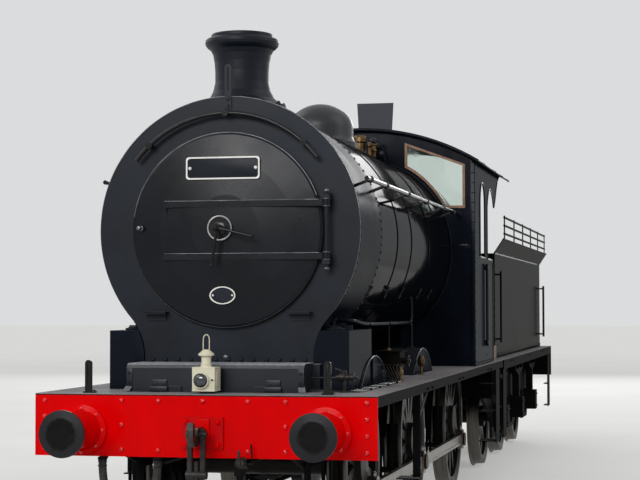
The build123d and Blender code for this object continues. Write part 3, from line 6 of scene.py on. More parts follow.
import bmesh
import bpy
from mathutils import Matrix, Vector


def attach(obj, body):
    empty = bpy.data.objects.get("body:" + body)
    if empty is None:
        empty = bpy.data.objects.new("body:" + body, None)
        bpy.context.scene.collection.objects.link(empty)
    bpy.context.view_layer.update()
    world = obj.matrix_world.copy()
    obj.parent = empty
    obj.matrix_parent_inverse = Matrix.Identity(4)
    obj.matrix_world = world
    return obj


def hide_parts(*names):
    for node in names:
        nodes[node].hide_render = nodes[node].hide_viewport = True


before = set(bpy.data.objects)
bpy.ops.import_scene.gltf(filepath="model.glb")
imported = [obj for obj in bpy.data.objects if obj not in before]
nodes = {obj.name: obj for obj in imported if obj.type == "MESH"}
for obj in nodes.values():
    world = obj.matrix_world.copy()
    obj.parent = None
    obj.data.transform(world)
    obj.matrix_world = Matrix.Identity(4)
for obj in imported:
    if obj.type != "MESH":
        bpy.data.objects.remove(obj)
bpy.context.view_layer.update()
chance = random.Random(20)

BEAM = -7.44  # front face of the buffer beam along Y
RAIL = 0.029  # rail tops above the flange tips
SIDES = (-1, 1)
ACROSS, ALONG, UP = Vector((1, 0, 0)), Vector((0, 1, 0)), Vector((0, 0, 1))
FRONTWARD = -ALONG
BOILER_HEIGHT = 2.4725  # boiler's and smokebox's middle above the rails
COUPLED = (1.64, 4.08, 6.82)  # stations of the engine's axles
TENDER_AXLES = (9.57, 11.5, 13.43)
COUPLED_RADIUS, TENDER_RADIUS = 0.7015, 0.5745  # of the wheels' treads
BUFFER_OUT, LAMP_IRON_OUT = 0.87, 0.86  # from the middle line
VALANCE_OUT, CAB_OUT, TANK_OUT = 1.2215, 1.178, 1.0865
TANK_REAR = 7.1265  # along Y
STRAPS = (2.66, 2.277)  # heights of the door's straps
PIPE_OUT, SAND_PIPE_OUT = 0.8, 0.755  # steam pipe and sand pipes
PIPE_CLIPS = (0.78, 1.15, 1.52, 1.92)  # stations
TREAD = 1.308  # top of the running plate
OIL_PIPE = 1.3135  # height at which the oil pipes lie on it
ROOF_OUT = 1.2215  # edge of the cab roof from the middle line
FAR_FRONT = -9  # along Y, where rays start in front of the engine


def at(x, station, height):
    """Point given across, behind the beam's front face and above the rail tops."""
    return Vector((x, station + BEAM, height + RAIL))


def shown(name, data):
    """New object in the scene."""
    made = bpy.data.objects.new(name, data)
    bpy.context.scene.collection.objects.link(made)
    return made


# Camera: the photograph's place, lens and tilt, for an image of 640 by 480
IMAGE_WIDTH = 640
lens_in_pixels = 1724.6
camera = shown("camera", bpy.data.cameras.new("camera"))
camera.data.sensor_width = 36
camera.data.lens = 36 * lens_in_pixels / IMAGE_WIDTH
camera.data.clip_end = 400
camera.location = (3.2908, -18.9262, 1.945)
camera.rotation_euler = (math.pi / 2 + 0.0383, 0.0017, 0.2112)
bpy.context.scene.camera = camera
bpy.context.scene.view_settings.view_transform = "Standard"


# Node trees


def linear(code, alpha=1.0):
    """sRGB hex value as linear colour."""
    channels = [int(code[n:n + 2], 16) / 255 for n in (1, 3, 5)]
    return [c / 12.92 if c <= 0.04045 else ((c + 0.055) / 1.055) ** 2.4 for c in channels] + [alpha]


def feed(node, sockets):
    """Gives a node's sockets their values, or links them to a socket or to a node's first output."""
    for name, value in sockets.items():
        if isinstance(value, bpy.types.Node):
            value = value.outputs[0]
        if isinstance(value, bpy.types.NodeSocket):
            node.id_data.links.new(value, node.inputs[name])
        else:
            node.inputs[name].default_value = value


def add(tree, kind, sockets=(), stops=(), **settings):
    """Adds a node, sets its properties and colour stops, and feeds its sockets."""
    made = tree.nodes.new(kind)
    for name, value in settings.items():
        setattr(made, name, value)
    for n, (place, colour) in enumerate(stops):
        stop = made.color_ramp.elements[n] if n < 2 else made.color_ramp.elements.new(place)
        stop.position = place
        stop.color = linear(colour) if isinstance(colour, str) else (colour, colour, colour, 1)
    feed(made, dict(sockets))
    return made


def per(size_mm):
    """Texture scale that repeats at a real size in millimetres."""
    return 1000 / size_mm


def start(name):
    """New material with its shader, and the tree and place that its patterns use."""
    material = bpy.data.materials.new(name)
    material.use_nodes = True
    tree = material.node_tree
    shader = tree.nodes["Principled BSDF"]
    place = add(tree, "ShaderNodeTexCoord").outputs["Object"]
    return material, tree, shader, place


def brushed_enamel(name, clean, faded, dust, rough, gloss, dusty=0.35, wave_mm=420, streaky=1.0, shine=0.3):
    """Oil-bound enamel brushed on riveted plate, flatted and varnished."""
    material, tree, shader, place = start(name)
    patch = add(tree, "ShaderNodeTexNoise", {"Vector": place, "Scale": per(650), "Detail": 7,
        "Roughness": 0.62})
    streak_place = add(tree, "ShaderNodeMapping", {"Vector": place, "Scale": (per(160), per(160), per(900))})
    streak = add(tree, "ShaderNodeTexNoise", {"Vector": streak_place, "Scale": 1.0, "Detail": 4})
    worn = add(tree, "ShaderNodeMath", {0: patch, 1: streak}, operation="MULTIPLY")
    worn = add(tree, "ShaderNodeValToRGB", {"Fac": worn}, stops=[(0.2, 0.0), (0.42, streaky)])
    colour = add(tree, "ShaderNodeMix", {0: worn, 6: linear(clean), 7: linear(faded)}, data_type="RGBA")
    # Dust lies on what faces up, and thins out where hands and rain reach; given a pale colour, the same mask
    # paints a highlight on faces that look up
    facing = add(tree, "ShaderNodeSeparateXYZ", {0: add(tree, "ShaderNodeNewGeometry").outputs["Normal"]})
    up = add(tree, "ShaderNodeMapRange", {0: facing.outputs[2], 1: 0.35, 2: 1.0, 3: 0.0, 4: dusty})
    speck = add(tree, "ShaderNodeTexNoise", {"Vector": place, "Scale": per(45), "Detail": 9, "Roughness": 0.7})
    dust_and_top_highlight = add(tree, "ShaderNodeMath", {0: up, 1: speck}, operation="MULTIPLY")
    dusted_and_highlit = add(tree, "ShaderNodeMix", {0: dust_and_top_highlight, 6: colour.outputs[2], 7: linear(dust)}, data_type="RGBA")
    dull = add(tree, "ShaderNodeMapRange", {0: worn, 1: 0.0, 2: 1.0, 3: rough, 4: rough + 0.05})
    duller = add(tree, "ShaderNodeMath", {0: dull, 1: dust_and_top_highlight}, operation="ADD")
    # Plates that are never quite flat, and brush marks under the varnish
    buckle = add(tree, "ShaderNodeTexNoise", {"Vector": place, "Scale": per(wave_mm), "Detail": 1})
    ripple = add(tree, "ShaderNodeBump", {"Height": buckle, "Strength": 0.35, "Distance": 0.006})
    brush = add(tree, "ShaderNodeTexNoise", {"Vector": place, "Scale": per(7), "Detail": 2})
    marks = add(tree, "ShaderNodeBump", {"Height": brush, "Normal": ripple, "Strength": 0.12,
        "Distance": 0.0006})
    feed(shader, {"Base Color": dusted_and_highlit.outputs[2], "Roughness": duller, "Coat Roughness": duller,
        "Normal": marks, "Coat Normal": ripple, "IOR": 1.5, "Coat Weight": gloss, "Coat IOR": 1.5,
        "Specular IOR Level": shine})
    return material


def heat_paint(name, base, ash, rough, grain_mm=5, shine=0.25, polish=0.0):
    """Graphite and resin paint that hot plate has baked matt, polished with oil on rags in places."""
    material, tree, shader, place = start(name)
    cloud = add(tree, "ShaderNodeTexNoise", {"Vector": place, "Scale": per(500), "Detail": 8, "Roughness": 0.6})
    tone = add(tree, "ShaderNodeValToRGB", {"Fac": cloud}, stops=[(0.3, base), (0.75, ash)])
    grain = add(tree, "ShaderNodeTexNoise", {"Vector": place, "Scale": per(grain_mm), "Detail": 4,
        "Roughness": 0.7})
    fleck = add(tree, "ShaderNodeMapRange", {0: grain, 1: 0.35, 2: 0.75, 3: 0.86, 4: 1.12})
    shade = add(tree, "ShaderNodeVectorMath", {0: tone, "Scale": fleck}, operation="SCALE")
    dull = add(tree, "ShaderNodeMapRange", {0: cloud, 1: 0.3, 2: 0.8, 3: rough, 4: rough + 0.16})
    buckle = add(tree, "ShaderNodeTexNoise", {"Vector": place, "Scale": per(300), "Detail": 2})
    ripple = add(tree, "ShaderNodeBump", {"Height": buckle, "Strength": 0.3, "Distance": 0.004})
    tooth = add(tree, "ShaderNodeBump", {"Height": grain, "Normal": ripple, "Strength": 0.3, "Distance": 0.001})
    feed(shader, {"Base Color": shade, "Roughness": dull, "Normal": tooth, "Coat Roughness": dull,
        "Coat Normal": ripple, "IOR": 1.5, "Specular IOR Level": shine, "Coat Weight": polish})
    return material


def oily_steel(name, bright, oiled, rough, lay=(30, 30, 30), metal=1.0, grease=0.5):
    """Machined or forged steel with oil and dust in its hollows."""
    material, tree, shader, place = start(name)
    stretched = add(tree, "ShaderNodeMapping", {"Vector": place, "Scale": [per(size) for size in lay]})
    cut = add(tree, "ShaderNodeTexNoise", {"Vector": stretched, "Scale": 1.0, "Detail": 5, "Roughness": 0.6})
    film = add(tree, "ShaderNodeTexNoise", {"Vector": place, "Scale": per(170), "Detail": 6, "Roughness": 0.65})
    wet = add(tree, "ShaderNodeMapRange", {0: film, 1: 0.38, 2: 0.62, 3: 0.0, 4: grease})
    colour = add(tree, "ShaderNodeMix", {0: wet, 6: linear(bright), 7: linear(oiled)}, data_type="RGBA")
    sheen = add(tree, "ShaderNodeMapRange", {0: cut, 1: 0.3, 2: 0.7, 3: rough, 4: rough + 0.18})
    bump = add(tree, "ShaderNodeBump", {"Height": cut, "Strength": 0.25, "Distance": 0.0008})
    feed(shader, {"Base Color": colour.outputs[2], "Roughness": sheen, "Normal": bump, "Metallic": metal})
    return material


def wheel_enamel(name, axle, tread_radius):
    """Cast wheel in black enamel, its steel tyre rolled bright on the tread and the flange."""
    material, tree, shader, place = start(name)
    cloud = add(tree, "ShaderNodeTexNoise", {"Vector": place, "Scale": per(260), "Detail": 8,
        "Roughness": 0.65})
    paint = add(tree, "ShaderNodeValToRGB", {"Fac": cloud}, stops=[(0.32, "#101113"), (0.7, "#2a2723")])
    spoke = add(tree, "ShaderNodeVectorMath", {0: place, 1: (0, axle.y, axle.z)}, operation="SUBTRACT")
    flat = add(tree, "ShaderNodeVectorMath", {0: spoke, 1: (0, 1, 1)}, operation="MULTIPLY")
    out = add(tree, "ShaderNodeVectorMath", {0: flat}, operation="LENGTH")
    rolled = add(tree, "ShaderNodeMapRange", {0: out.outputs["Value"], 1: tread_radius - 0.009,
        2: tread_radius - 0.004})
    # Marks of the rail run round the tyre
    round_tyre = add(tree, "ShaderNodeMapping", {"Vector": place, "Scale": (per(9), per(500), per(500))})
    scratch = add(tree, "ShaderNodeTexNoise", {"Vector": round_tyre, "Scale": 1.0, "Detail": 5})
    steel = add(tree, "ShaderNodeValToRGB", {"Fac": scratch}, stops=[(0.3, "#4f4b47"), (0.7, "#6e6a65")])
    colour = add(tree, "ShaderNodeMix", {0: rolled, 6: paint, 7: steel}, data_type="RGBA")
    shine = add(tree, "ShaderNodeMapRange", {0: rolled, 3: 0.1, 4: 0.5})
    dull = add(tree, "ShaderNodeMapRange", {0: cloud, 1: 0.3, 2: 0.7, 3: 0.28, 4: 0.5})
    bump = add(tree, "ShaderNodeBump", {"Height": scratch, "Strength": 0.2, "Distance": 0.0006})
    feed(shader, {"Base Color": colour.outputs[2], "Metallic": rolled, "Specular IOR Level": shine,
        "Roughness": dull, "Normal": bump})
    return material


def beam_and_hook(name, sign):
    """Red enamel on the beam and hook plate, bare forging in front of them, black framing behind."""
    material, tree, shader, place = start(name)
    cloud = add(tree, "ShaderNodeTexNoise", {"Vector": place, "Scale": per(220), "Detail": 7,
        "Roughness": 0.65})
    red = add(tree, "ShaderNodeValToRGB", {"Fac": cloud}, stops=[(0.3, "#cf0207"), (0.75, "#b4040a")])
    forged = add(tree, "ShaderNodeValToRGB", {"Fac": cloud}, stops=[(0.35, "#5a5854"), (0.65, "#24211e")])
    black = add(tree, "ShaderNodeValToRGB", {"Fac": cloud}, stops=[(0.35, "#0f1012"), (0.7, "#24221f")])
    spot = add(tree, "ShaderNodeSeparateXYZ", {0: place})
    out = add(tree, "ShaderNodeMath", {0: spot.outputs[1], 1: sign}, operation="MULTIPLY")
    on_beam = add(tree, "ShaderNodeMapRange", {0: out, 1: 7.425, 2: 7.4255})
    bare = add(tree, "ShaderNodeMapRange", {0: out, 1: 7.4645, 2: 7.465})
    painted = add(tree, "ShaderNodeMix", {0: on_beam, 6: black, 7: red}, data_type="RGBA")
    colour = add(tree, "ShaderNodeMix", {0: bare, 6: painted.outputs[2], 7: forged}, data_type="RGBA")
    metal = add(tree, "ShaderNodeMath", {0: bare, 1: 0.9}, operation="MULTIPLY")
    dull = add(tree, "ShaderNodeMapRange", {0: cloud, 1: 0.3, 2: 0.7, 3: 0.26, 4: 0.44})
    scale = add(tree, "ShaderNodeTexNoise", {"Vector": place, "Scale": per(16), "Detail": 5})
    bump = add(tree, "ShaderNodeBump", {"Height": scale, "Strength": 0.2, "Distance": 0.0015})
    feed(shader, {"Base Color": colour.outputs[2], "Metallic": metal, "Roughness": dull, "Normal": bump,
        "Specular IOR Level": 0.08})
    return material


def trodden_plate(name, paint, worn, edge_low, edge_high):
    """Black-painted walkway plate: boots take its top and its front and side edges down to grey."""
    material, tree, shader, place = start(name)
    cloud = add(tree, "ShaderNodeTexNoise", {"Vector": place, "Scale": per(380), "Detail": 8,
        "Roughness": 0.68})
    grit = add(tree, "ShaderNodeTexNoise", {"Vector": place, "Scale": per(28), "Detail": 8, "Roughness": 0.75})
    facing = add(tree, "ShaderNodeSeparateXYZ", {0: add(tree, "ShaderNodeNewGeometry").outputs["Normal"]})
    spot = add(tree, "ShaderNodeSeparateXYZ", {0: place})
    up = add(tree, "ShaderNodeMapRange", {0: facing.outputs[2], 1: 0.5, 2: 0.95})
    low = add(tree, "ShaderNodeMapRange", {0: spot.outputs[2], 1: edge_low, 2: edge_low + 0.002})
    high = add(tree, "ShaderNodeMapRange", {0: spot.outputs[2], 1: edge_high + 0.002, 2: edge_high})
    rim = add(tree, "ShaderNodeMath", {0: low, 1: high}, operation="MULTIPLY")
    trod = add(tree, "ShaderNodeMath", {0: up, 1: rim}, operation="MAXIMUM")
    patchy = add(tree, "ShaderNodeMapRange", {0: cloud, 1: 0.3, 2: 0.6, 3: 0.55, 4: 1.0})
    amount = add(tree, "ShaderNodeMath", {0: trod, 1: patchy}, operation="MULTIPLY")
    bare = add(tree, "ShaderNodeValToRGB", {"Fac": grit}, stops=[(0.3, worn), (0.75, "#a8a4a4")])
    colour = add(tree, "ShaderNodeMix", {0: amount, 6: linear(paint), 7: bare}, data_type="RGBA")
    dull = add(tree, "ShaderNodeMapRange", {0: amount, 1: 0.0, 2: 1.0, 3: 0.28, 4: 0.55})
    bump = add(tree, "ShaderNodeBump", {"Height": grit, "Strength": 0.35, "Distance": 0.0015})
    feed(shader, {"Base Color": colour.outputs[2], "Roughness": dull, "Normal": bump, "IOR": 1.5,
        "Specular IOR Level": 0.0, "Coat Weight": 0.1, "Coat Roughness": 0.3})
    return material


# Varnished black enamel on the boiler: the deepest gloss, with buckled plate in its reflections
boiler_enamel = brushed_enamel("boiler_black_varnish", "#0a0d12", "#12161b", "#4c4a47", 0.06, 0.2, 0.08,
    streaky=0.3, shine=0.0)
# The same enamel, rubbed down, on splashers, sandboxes and cab
engine_enamel = brushed_enamel("engine_black_enamel", "#10151e", "#19202b", "#5d5b56", 0.14, 0.16, 0.3,
    shine=0.0)
# The tender's sides, a little more weathered
tender_enamel = brushed_enamel("tender_black_enamel", "#11130f", "#1b1d17", "#56524a", 0.14, 0.13, 0.25, 520,
    shine=0.0)
# Chassis black: satin, with oil and road dust
frame_enamel = brushed_enamel("frame_black_enamel", "#0f1011", "#1c1a16", "#4f493f", 0.3, 0.09, 0.35, 260,
    shine=0.0)
# Walking surfaces: paint worn to grey by boots on top and along the plate's edge
tread_enamel = trodden_plate("walkway_worn_plate", "#090a0c", "#7c787c", 1.331, 1.337)
step_enamel = trodden_plate("step_worn_plate", "#101215", "#6c6a68", 0.0, 0.0)
# Casing over the cylinders: dark blue-black front; its rounded top edge and other up-facing faces take a pale
# grey painted highlight through the dust colour
casing_enamel_top_highlight = brushed_enamel("casing_blue_black_enamel_painted_top_highlight", "#0d131b", "#151b23", "#aeb0b5", 0.3, 0.2, 1.3, 300,
    shine=0.25)
# Signal-red enamel on the beam and buffer housings
beam_enamel = brushed_enamel("beam_red_enamel", "#de0003", "#c60204", "#6a2a22", 0.16, 0.1, 0.25, 380, 0.5,
    shine=0.0)
# The same enamel runs thick over rivet heads and glints there
rivet_enamel = brushed_enamel("rivet_red_enamel", "#de0003", "#c60204", "#6a2a22", 0.1, 0.7, 0.1, 380, 0.5,
    shine=0.2)
front_hook_paint = beam_and_hook("front_hook_and_plate", -1.0)
rear_beam_paint = beam_and_hook("rear_beam_and_hook", 1.0)
# Baked matt blacking of the smokebox
smokebox_black = heat_paint("smokebox_blacking", "#0c1118", "#1a212c", 0.34, shine=0.18)
# Wrapper plate: the same blacking, polished with oil on rags
wrapper_black = heat_paint("smokebox_wrapper_blacking", "#0a0d15", "#161a25", 0.2, shine=0.0, polish=0.2)
# The door's plate, rubbed with graphite, shines a little more
door_black = heat_paint("smokebox_door_graphite", "#04060c", "#0a0e17", 0.22, shine=0.2)
chimney_black = heat_paint("chimney_blacking", "#0a101b", "#141824", 0.38, shine=0.2)
roof_black = heat_paint("roof_bitumen", "#15171a", "#2b2b2d", 0.5, 9, shine=0.1)
# Ventilator lid: a lighter, bluish grey than the roof
lid_grey = heat_paint("ventilator_lid_grey", "#3e4048", "#4c4e56", 0.5, 9)
# Dome cover: satin black, dulled by heat
dome_black = heat_paint("dome_cover_blacking", "#15171a", "#26272a", 0.3, shine=0.45)
# Handrails, lamp irons and hinges in black gloss over worn steel
rail_enamel = brushed_enamel("handrail_black_enamel", "#07080a", "#111215", "#4b4c50", 0.18, 0.25, 0.1, 90,
    shine=0.15)
# Bright grey steel on the upper edges of plates and straps and on knobs and caps: painted highlights where
# light catches them
highlight_edge_steel = oily_steel("painted_highlight_steel", "#777a80", "#3a3c40", 0.24, (30, 30, 30), 0.85, 0.8)
# Turned and filed steel
rod_steel = oily_steel("coupling_rod_steel", "#8c8984", "#655d53", 0.26, (6, 500, 6), grease=0.45)
bright_steel = oily_steel("burnished_handrail_steel", "#b9b8b5", "#80796d", 0.2, (20, 20, 20), grease=0.35)
dark_steel = oily_steel("greased_forging", "#302e2c", "#121110", 0.34, (14, 14, 14), 0.6, 0.9)
# Cast and turned brass gone brown in service, and drawn copper pipe
brass = oily_steel("service_brass", "#7a6140", "#35291b", 0.28, (12, 12, 12), 0.9, 0.9)
copper = oily_steel("oxidised_copper", "#4e3d34", "#211a16", 0.36, (12, 12, 12), 0.8, 0.9)
# Bronze frames of the cab windows, brown with age
window_brown = oily_steel("window_frame_bronze", "#8b6a53", "#5a4334", 0.36, (12, 12, 160), 0.35, 0.8)
# White lead paint on raised rims and dials, and cream enamel on the lamp
rim_white = brushed_enamel("rim_white_enamel", "#efeee8", "#d9d6cc", "#8c877c", 0.32, 0.2, 0.2)
lamp_cream = brushed_enamel("lamp_cream_enamel", "#dedac4", "#cbc5aa", "#7d7564", 0.3, 0.2, 0.25, 120)


def bullseye_glass():
    """Pressed lens over a dark reflector: nearly black, with a hard highlight."""
    material, tree, shader, place = start("pressed_bullseye_glass")
    depth = add(tree, "ShaderNodeTexNoise", {"Vector": place, "Scale": per(40), "Detail": 2})
    tone = add(tree, "ShaderNodeValToRGB", {"Fac": depth}, stops=[(0.35, "#05070b"), (0.7, "#1d2836")])
    feed(shader, {"Base Color": tone, "Roughness": 0.05, "IOR": 1.52, "Coat Weight": 1.0})
    return material


lens_glass = bullseye_glass()


def greased_faces():
    """Buffer faces: rubbed to grey round the rim, thick black grease in the middle."""
    material, tree, shader, place = start("greased_buffer_faces")
    mirrored = add(tree, "ShaderNodeVectorMath", {0: place}, operation="ABSOLUTE")
    spoke = add(tree, "ShaderNodeVectorMath", {0: mirrored, 1: (0.87, 0, 1.083)}, operation="SUBTRACT")
    flat = add(tree, "ShaderNodeVectorMath", {0: spoke, 1: (1, 0, 1)}, operation="MULTIPLY")
    out = add(tree, "ShaderNodeVectorMath", {0: flat}, operation="LENGTH")
    smear = add(tree, "ShaderNodeTexNoise", {"Vector": place, "Scale": per(70), "Detail": 5, "Roughness": 0.6})
    edge = add(tree, "ShaderNodeMath", {0: smear, 1: 0.055, 2: out.outputs["Value"]}, operation="MULTIPLY_ADD")
    rubbed = add(tree, "ShaderNodeMapRange", {0: edge, 1: 0.122, 2: 0.146})
    colour = add(tree, "ShaderNodeMix", {0: rubbed, 6: linear("#050506"), 7: linear("#232326")},
        data_type="RGBA")
    dull = add(tree, "ShaderNodeMapRange", {0: rubbed, 3: 0.14, 4: 0.4})
    lumps = add(tree, "ShaderNodeBump", {"Height": smear, "Strength": 0.4, "Distance": 0.004})
    feed(shader, {"Base Color": colour.outputs[2], "Roughness": dull, "Normal": lumps,
        "Specular IOR Level": 0.15})
    return material


def iron_and_brass():
    """Firebox back: black iron fire door below, brass gauges and columns above it."""
    material, tree, shader, place = start("fire_door_iron_and_gauge_brass")
    film = add(tree, "ShaderNodeTexNoise", {"Vector": place, "Scale": per(90), "Detail": 6, "Roughness": 0.65})
    metal = add(tree, "ShaderNodeValToRGB", {"Fac": film}, stops=[(0.35, "#9a7d50"), (0.7, "#4c3b26")])
    iron = add(tree, "ShaderNodeValToRGB", {"Fac": film}, stops=[(0.35, "#151414"), (0.7, "#2c2522")])
    spot = add(tree, "ShaderNodeSeparateXYZ", {0: place})
    above = add(tree, "ShaderNodeMapRange", {0: spot.outputs[2], 1: 2.1, 2: 2.11})
    colour = add(tree, "ShaderNodeMix", {0: above, 6: iron, 7: metal}, data_type="RGBA")
    dull = add(tree, "ShaderNodeMapRange", {0: above, 3: 0.55, 4: 0.28})
    feed(shader, {"Base Color": colour.outputs[2], "Metallic": above, "Roughness": dull})
    return material


buffer_faces = greased_faces()
backhead_metals = iron_and_brass()


def cloth_braid_rubber():
    """Moulded rubber hose over canvas plies: dull black, powdery, with the weave's print in it."""
    material, tree, shader, place = start("canvas_rubber_hose")
    bloom = add(tree, "ShaderNodeTexNoise", {"Vector": place, "Scale": per(90), "Detail": 8, "Roughness": 0.7})
    tone = add(tree, "ShaderNodeValToRGB", {"Fac": bloom}, stops=[(0.35, "#18181a"), (0.75, "#3a3835")])
    weave = add(tree, "ShaderNodeTexNoise", {"Vector": place, "Scale": per(3), "Detail": 3})
    bump = add(tree, "ShaderNodeBump", {"Height": weave, "Strength": 0.5, "Distance": 0.001})
    feed(shader, {"Base Color": tone, "Normal": bump, "Roughness": 0.68, "IOR": 1.52})
    return material


def drawn_glass():
    """Drawn sheet glass, 6 mm, slightly green and a little dusty."""
    material, tree, shader, place = start("drawn_sheet_glass")
    film = add(tree, "ShaderNodeTexNoise", {"Vector": place, "Scale": per(140), "Detail": 6})
    haze = add(tree, "ShaderNodeMapRange", {0: film, 1: 0.4, 2: 0.8, 3: 0.02, 4: 0.14})
    draw = add(tree, "ShaderNodeTexNoise", {"Vector": place, "Scale": per(260), "Detail": 1})
    bump = add(tree, "ShaderNodeBump", {"Height": draw, "Strength": 0.2, "Distance": 0.002})
    feed(shader, {"Roughness": haze, "Normal": bump, "Base Color": linear("#dcebe2"),
        "Transmission Weight": 1.0, "IOR": 1.52})
    return material


def scrubbed_planks():
    """Softwood planks, 150 mm wide, laid along the cab and trodden grey."""
    material, tree, shader, place = start("trodden_pine_planks")
    run = add(tree, "ShaderNodeMapping", {"Vector": place, "Scale": (per(18), per(420), per(18))})
    grain = add(tree, "ShaderNodeTexNoise", {"Vector": run, "Scale": 1.0, "Detail": 6, "Distortion": 0.6})
    wood = add(tree, "ShaderNodeValToRGB", {"Fac": grain}, stops=[(0.3, "#4a3a2b"), (0.7, "#8a7256")])
    seam = add(tree, "ShaderNodeTexWave", {"Vector": place, "Scale": 2 * math.pi / 20 * per(150),
        "Distortion": 0.0}, bands_direction="X", wave_profile="SAW")
    gap = add(tree, "ShaderNodeValToRGB", {"Fac": seam}, stops=[(0.02, 0.25), (0.05, 1.0)])
    shade = add(tree, "ShaderNodeMix", {0: 1.0, 6: wood, 7: gap}, data_type="RGBA", blend_type="MULTIPLY")
    bump = add(tree, "ShaderNodeBump", {"Height": grain, "Strength": 0.4, "Distance": 0.002})
    feed(shader, {"Base Color": shade.outputs[2], "Normal": bump, "Roughness": 0.75})
    return material


hose_rubber = cloth_braid_rubber()
sheet_glass = drawn_glass()
floor_planks = scrubbed_planks()

# Finish of a fitting: the body it rides on, its colour slot and its material
CAB_PAINT = "engine", "frame_paint", engine_enamel
CHASSIS_PAINT = "engine", "frame_paint", frame_enamel
BEADING = "engine", "frame_paint", rail_enamel
ROOFING = "engine", "frame_paint", roof_black
SMOKEBOX_PAINT = "engine", "smokebox_paint", smokebox_black
CASING_PAINT = "engine", "smokebox_paint", casing_enamel_top_highlight
DOOR_PAINT = "door", "smokebox_paint", smokebox_black
DOOR_HIGHLIGHT = "door", "smokebox_paint", highlight_edge_steel
PLATE_WHITE = "door", "cream_paint", rim_white
BEAM_RED = "engine", "beam_red", beam_enamel
RIVET_RED = "engine", "beam_red", rivet_enamel
FORGINGS = "engine", "worn_steel", dark_steel
BRASSWORK = "engine", "brass", brass
HIGHLIGHT_FITTINGS = "engine", "bright_steel", highlight_edge_steel
RAIL_FITTINGS = "engine", "bright_steel", rail_enamel
PIPE_PAINT = "engine", "boiler_paint", engine_enamel
LAMP_PAINT = "engine", "cream_paint", lamp_cream
TANK_PAINT = "tender", "boiler_paint", tender_enamel
TENDER_CHASSIS = "tender", "frame_paint", frame_enamel

# Mesh making


def mm(*sizes):
    """Pairs of radius and distance along an axis, from sizes in millimetres."""
    return [(radius / 1000, along / 1000) for radius, along in zip(sizes[::2], sizes[1::2])]


def turned(bm, centre, axis, profile, sides, twist=0.0):
    """Solid of revolution in a mesh: the profile's pairs are radius and distance along the axis."""
    axis = Vector(axis).normalized()
    across = axis.orthogonal().normalized()
    other = axis.cross(across)
    rings = []
    for radius, along in profile:
        if radius == 0:
            rings.append([bm.verts.new(Vector(centre) + axis * along)])
        else:
            rings.append([bm.verts.new(Vector(centre) + axis * along + radius
                * (across * math.cos(2 * math.pi * n / sides + twist) + other
                * math.sin(2 * math.pi * n / sides + twist))) for n in range(sides)])
    for first, second in zip(rings, rings[1:]):
        for n in range(sides):
            m = (n + 1) % sides
            if len(first) == 1 and len(second) > 1:
                bm.faces.new((first[0], second[m], second[n]))
            elif len(second) == 1 and len(first) > 1:
                bm.faces.new((first[n], first[m], second[0]))
            elif len(first) > 1:
                bm.faces.new((first[n], first[m], second[m], second[n]))


def walls(bm, loops):
    """Faces between each closed loop of vertices and the next."""
    for first, second in zip(loops, loops[1:]):
        for n in range(len(first)):
            m = (n + 1) % len(first)
            bm.faces.new((first[n], first[m], second[m], second[n]))


def soften(bm, edges, size):
    """Rounds edges, each of them once and in the order given."""
    if size:
        edges = list(dict.fromkeys(edges))
        bmesh.ops.bevel(bm, geom=edges, offset=size, segments=2, affect="EDGES", profile=0.6)


def slab(bm, corners, depth, bevel=0.0):
    """Plate from its outline's corners, thickened along depth, with its front edges rounded."""
    near = [bm.verts.new(c) for c in corners]
    far = [bm.verts.new(Vector(c) + Vector(depth)) for c in corners]
    count = len(corners)
    faces = [bm.faces.new(near), bm.faces.new(list(reversed(far)))]
    for n in range(count):
        m = (n + 1) % count
        faces.append(bm.faces.new((near[n], far[n], far[m], near[m])))
    soften(bm, [*faces[0].edges, *faces[1].edges], bevel)


def brick(bm, corner, opposite, bevel=0.0):
    """Box with rounded edges between two opposite corners."""
    low, high = Vector(map(min, corner, opposite)), Vector(map(max, corner, opposite))
    made = bmesh.ops.create_cube(bm, size=1.0)["verts"]
    for vert in made:
        vert.co = Vector(low[i] + (high[i] - low[i]) * (vert.co[i] + 0.5) for i in range(3))
    soften(bm, [edge for vert in made for edge in vert.link_edges], bevel)


def riding(name, data, body):
    """Piece that rides on a body."""
    piece = shown(name, data)
    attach(piece, body)
    return piece


def done(name, bm, body, slot, material, angle=35):
    """Mesh object from a finished bmesh, riding on a body."""
    bmesh.ops.recalc_face_normals(bm, faces=bm.faces)
    # A bevel leaves later faces in an order that differs from run to run, so they go in that of their corners
    bm.verts.index_update()
    by_corner = sorted(bm.faces, key=lambda face: sorted(vert.index for vert in face.verts))
    place = {face: number for number, face in enumerate(by_corner)}
    bm.faces.sort(key=place.get)
    mesh = bpy.data.meshes.new(name)
    bm.to_mesh(mesh)
    bm.free()
    mesh.polygons.foreach_set("use_smooth", [True] * len(mesh.polygons))
    mesh.set_sharp_from_angle(angle=math.radians(angle))
    mesh.materials.append(material)
    return riding(name, mesh, body)


def tube(name, runs, radius, body, slot, material, order=3):
    """Bent pipes or wires: one smooth spline through each run's points."""
    curve = bpy.data.curves.new(name, "CURVE")
    curve.dimensions = "3D"
    curve.bevel_depth = radius
    curve.bevel_resolution = 3
    curve.resolution_u = 8
    curve.use_fill_caps = True
    for points in runs:
        spline = curve.splines.new("NURBS")
        spline.points.add(len(points) - 1)
        for place, point in zip(spline.points, points):
            place.co = (*point, 1)
        spline.order_u = min(order, len(points))
        spline.use_endpoint_u = True
    curve.materials.append(material)
    return riding(name, curve, body)


def rivets(name, places, radius, body, slot, material, height=0.6):
    """Snap-headed rivets at places, each a point and the way its head faces."""
    bm = bmesh.new()
    for point, outward in places:
        turned(bm, point, outward, [(radius, -0.002), (radius, 0.0), (0.86 * radius, 0.55 * height * radius),
            (0.5 * radius, 0.9 * height * radius), (0, height * radius)], 10)
    return done(name, bm, body, slot, material, 60)


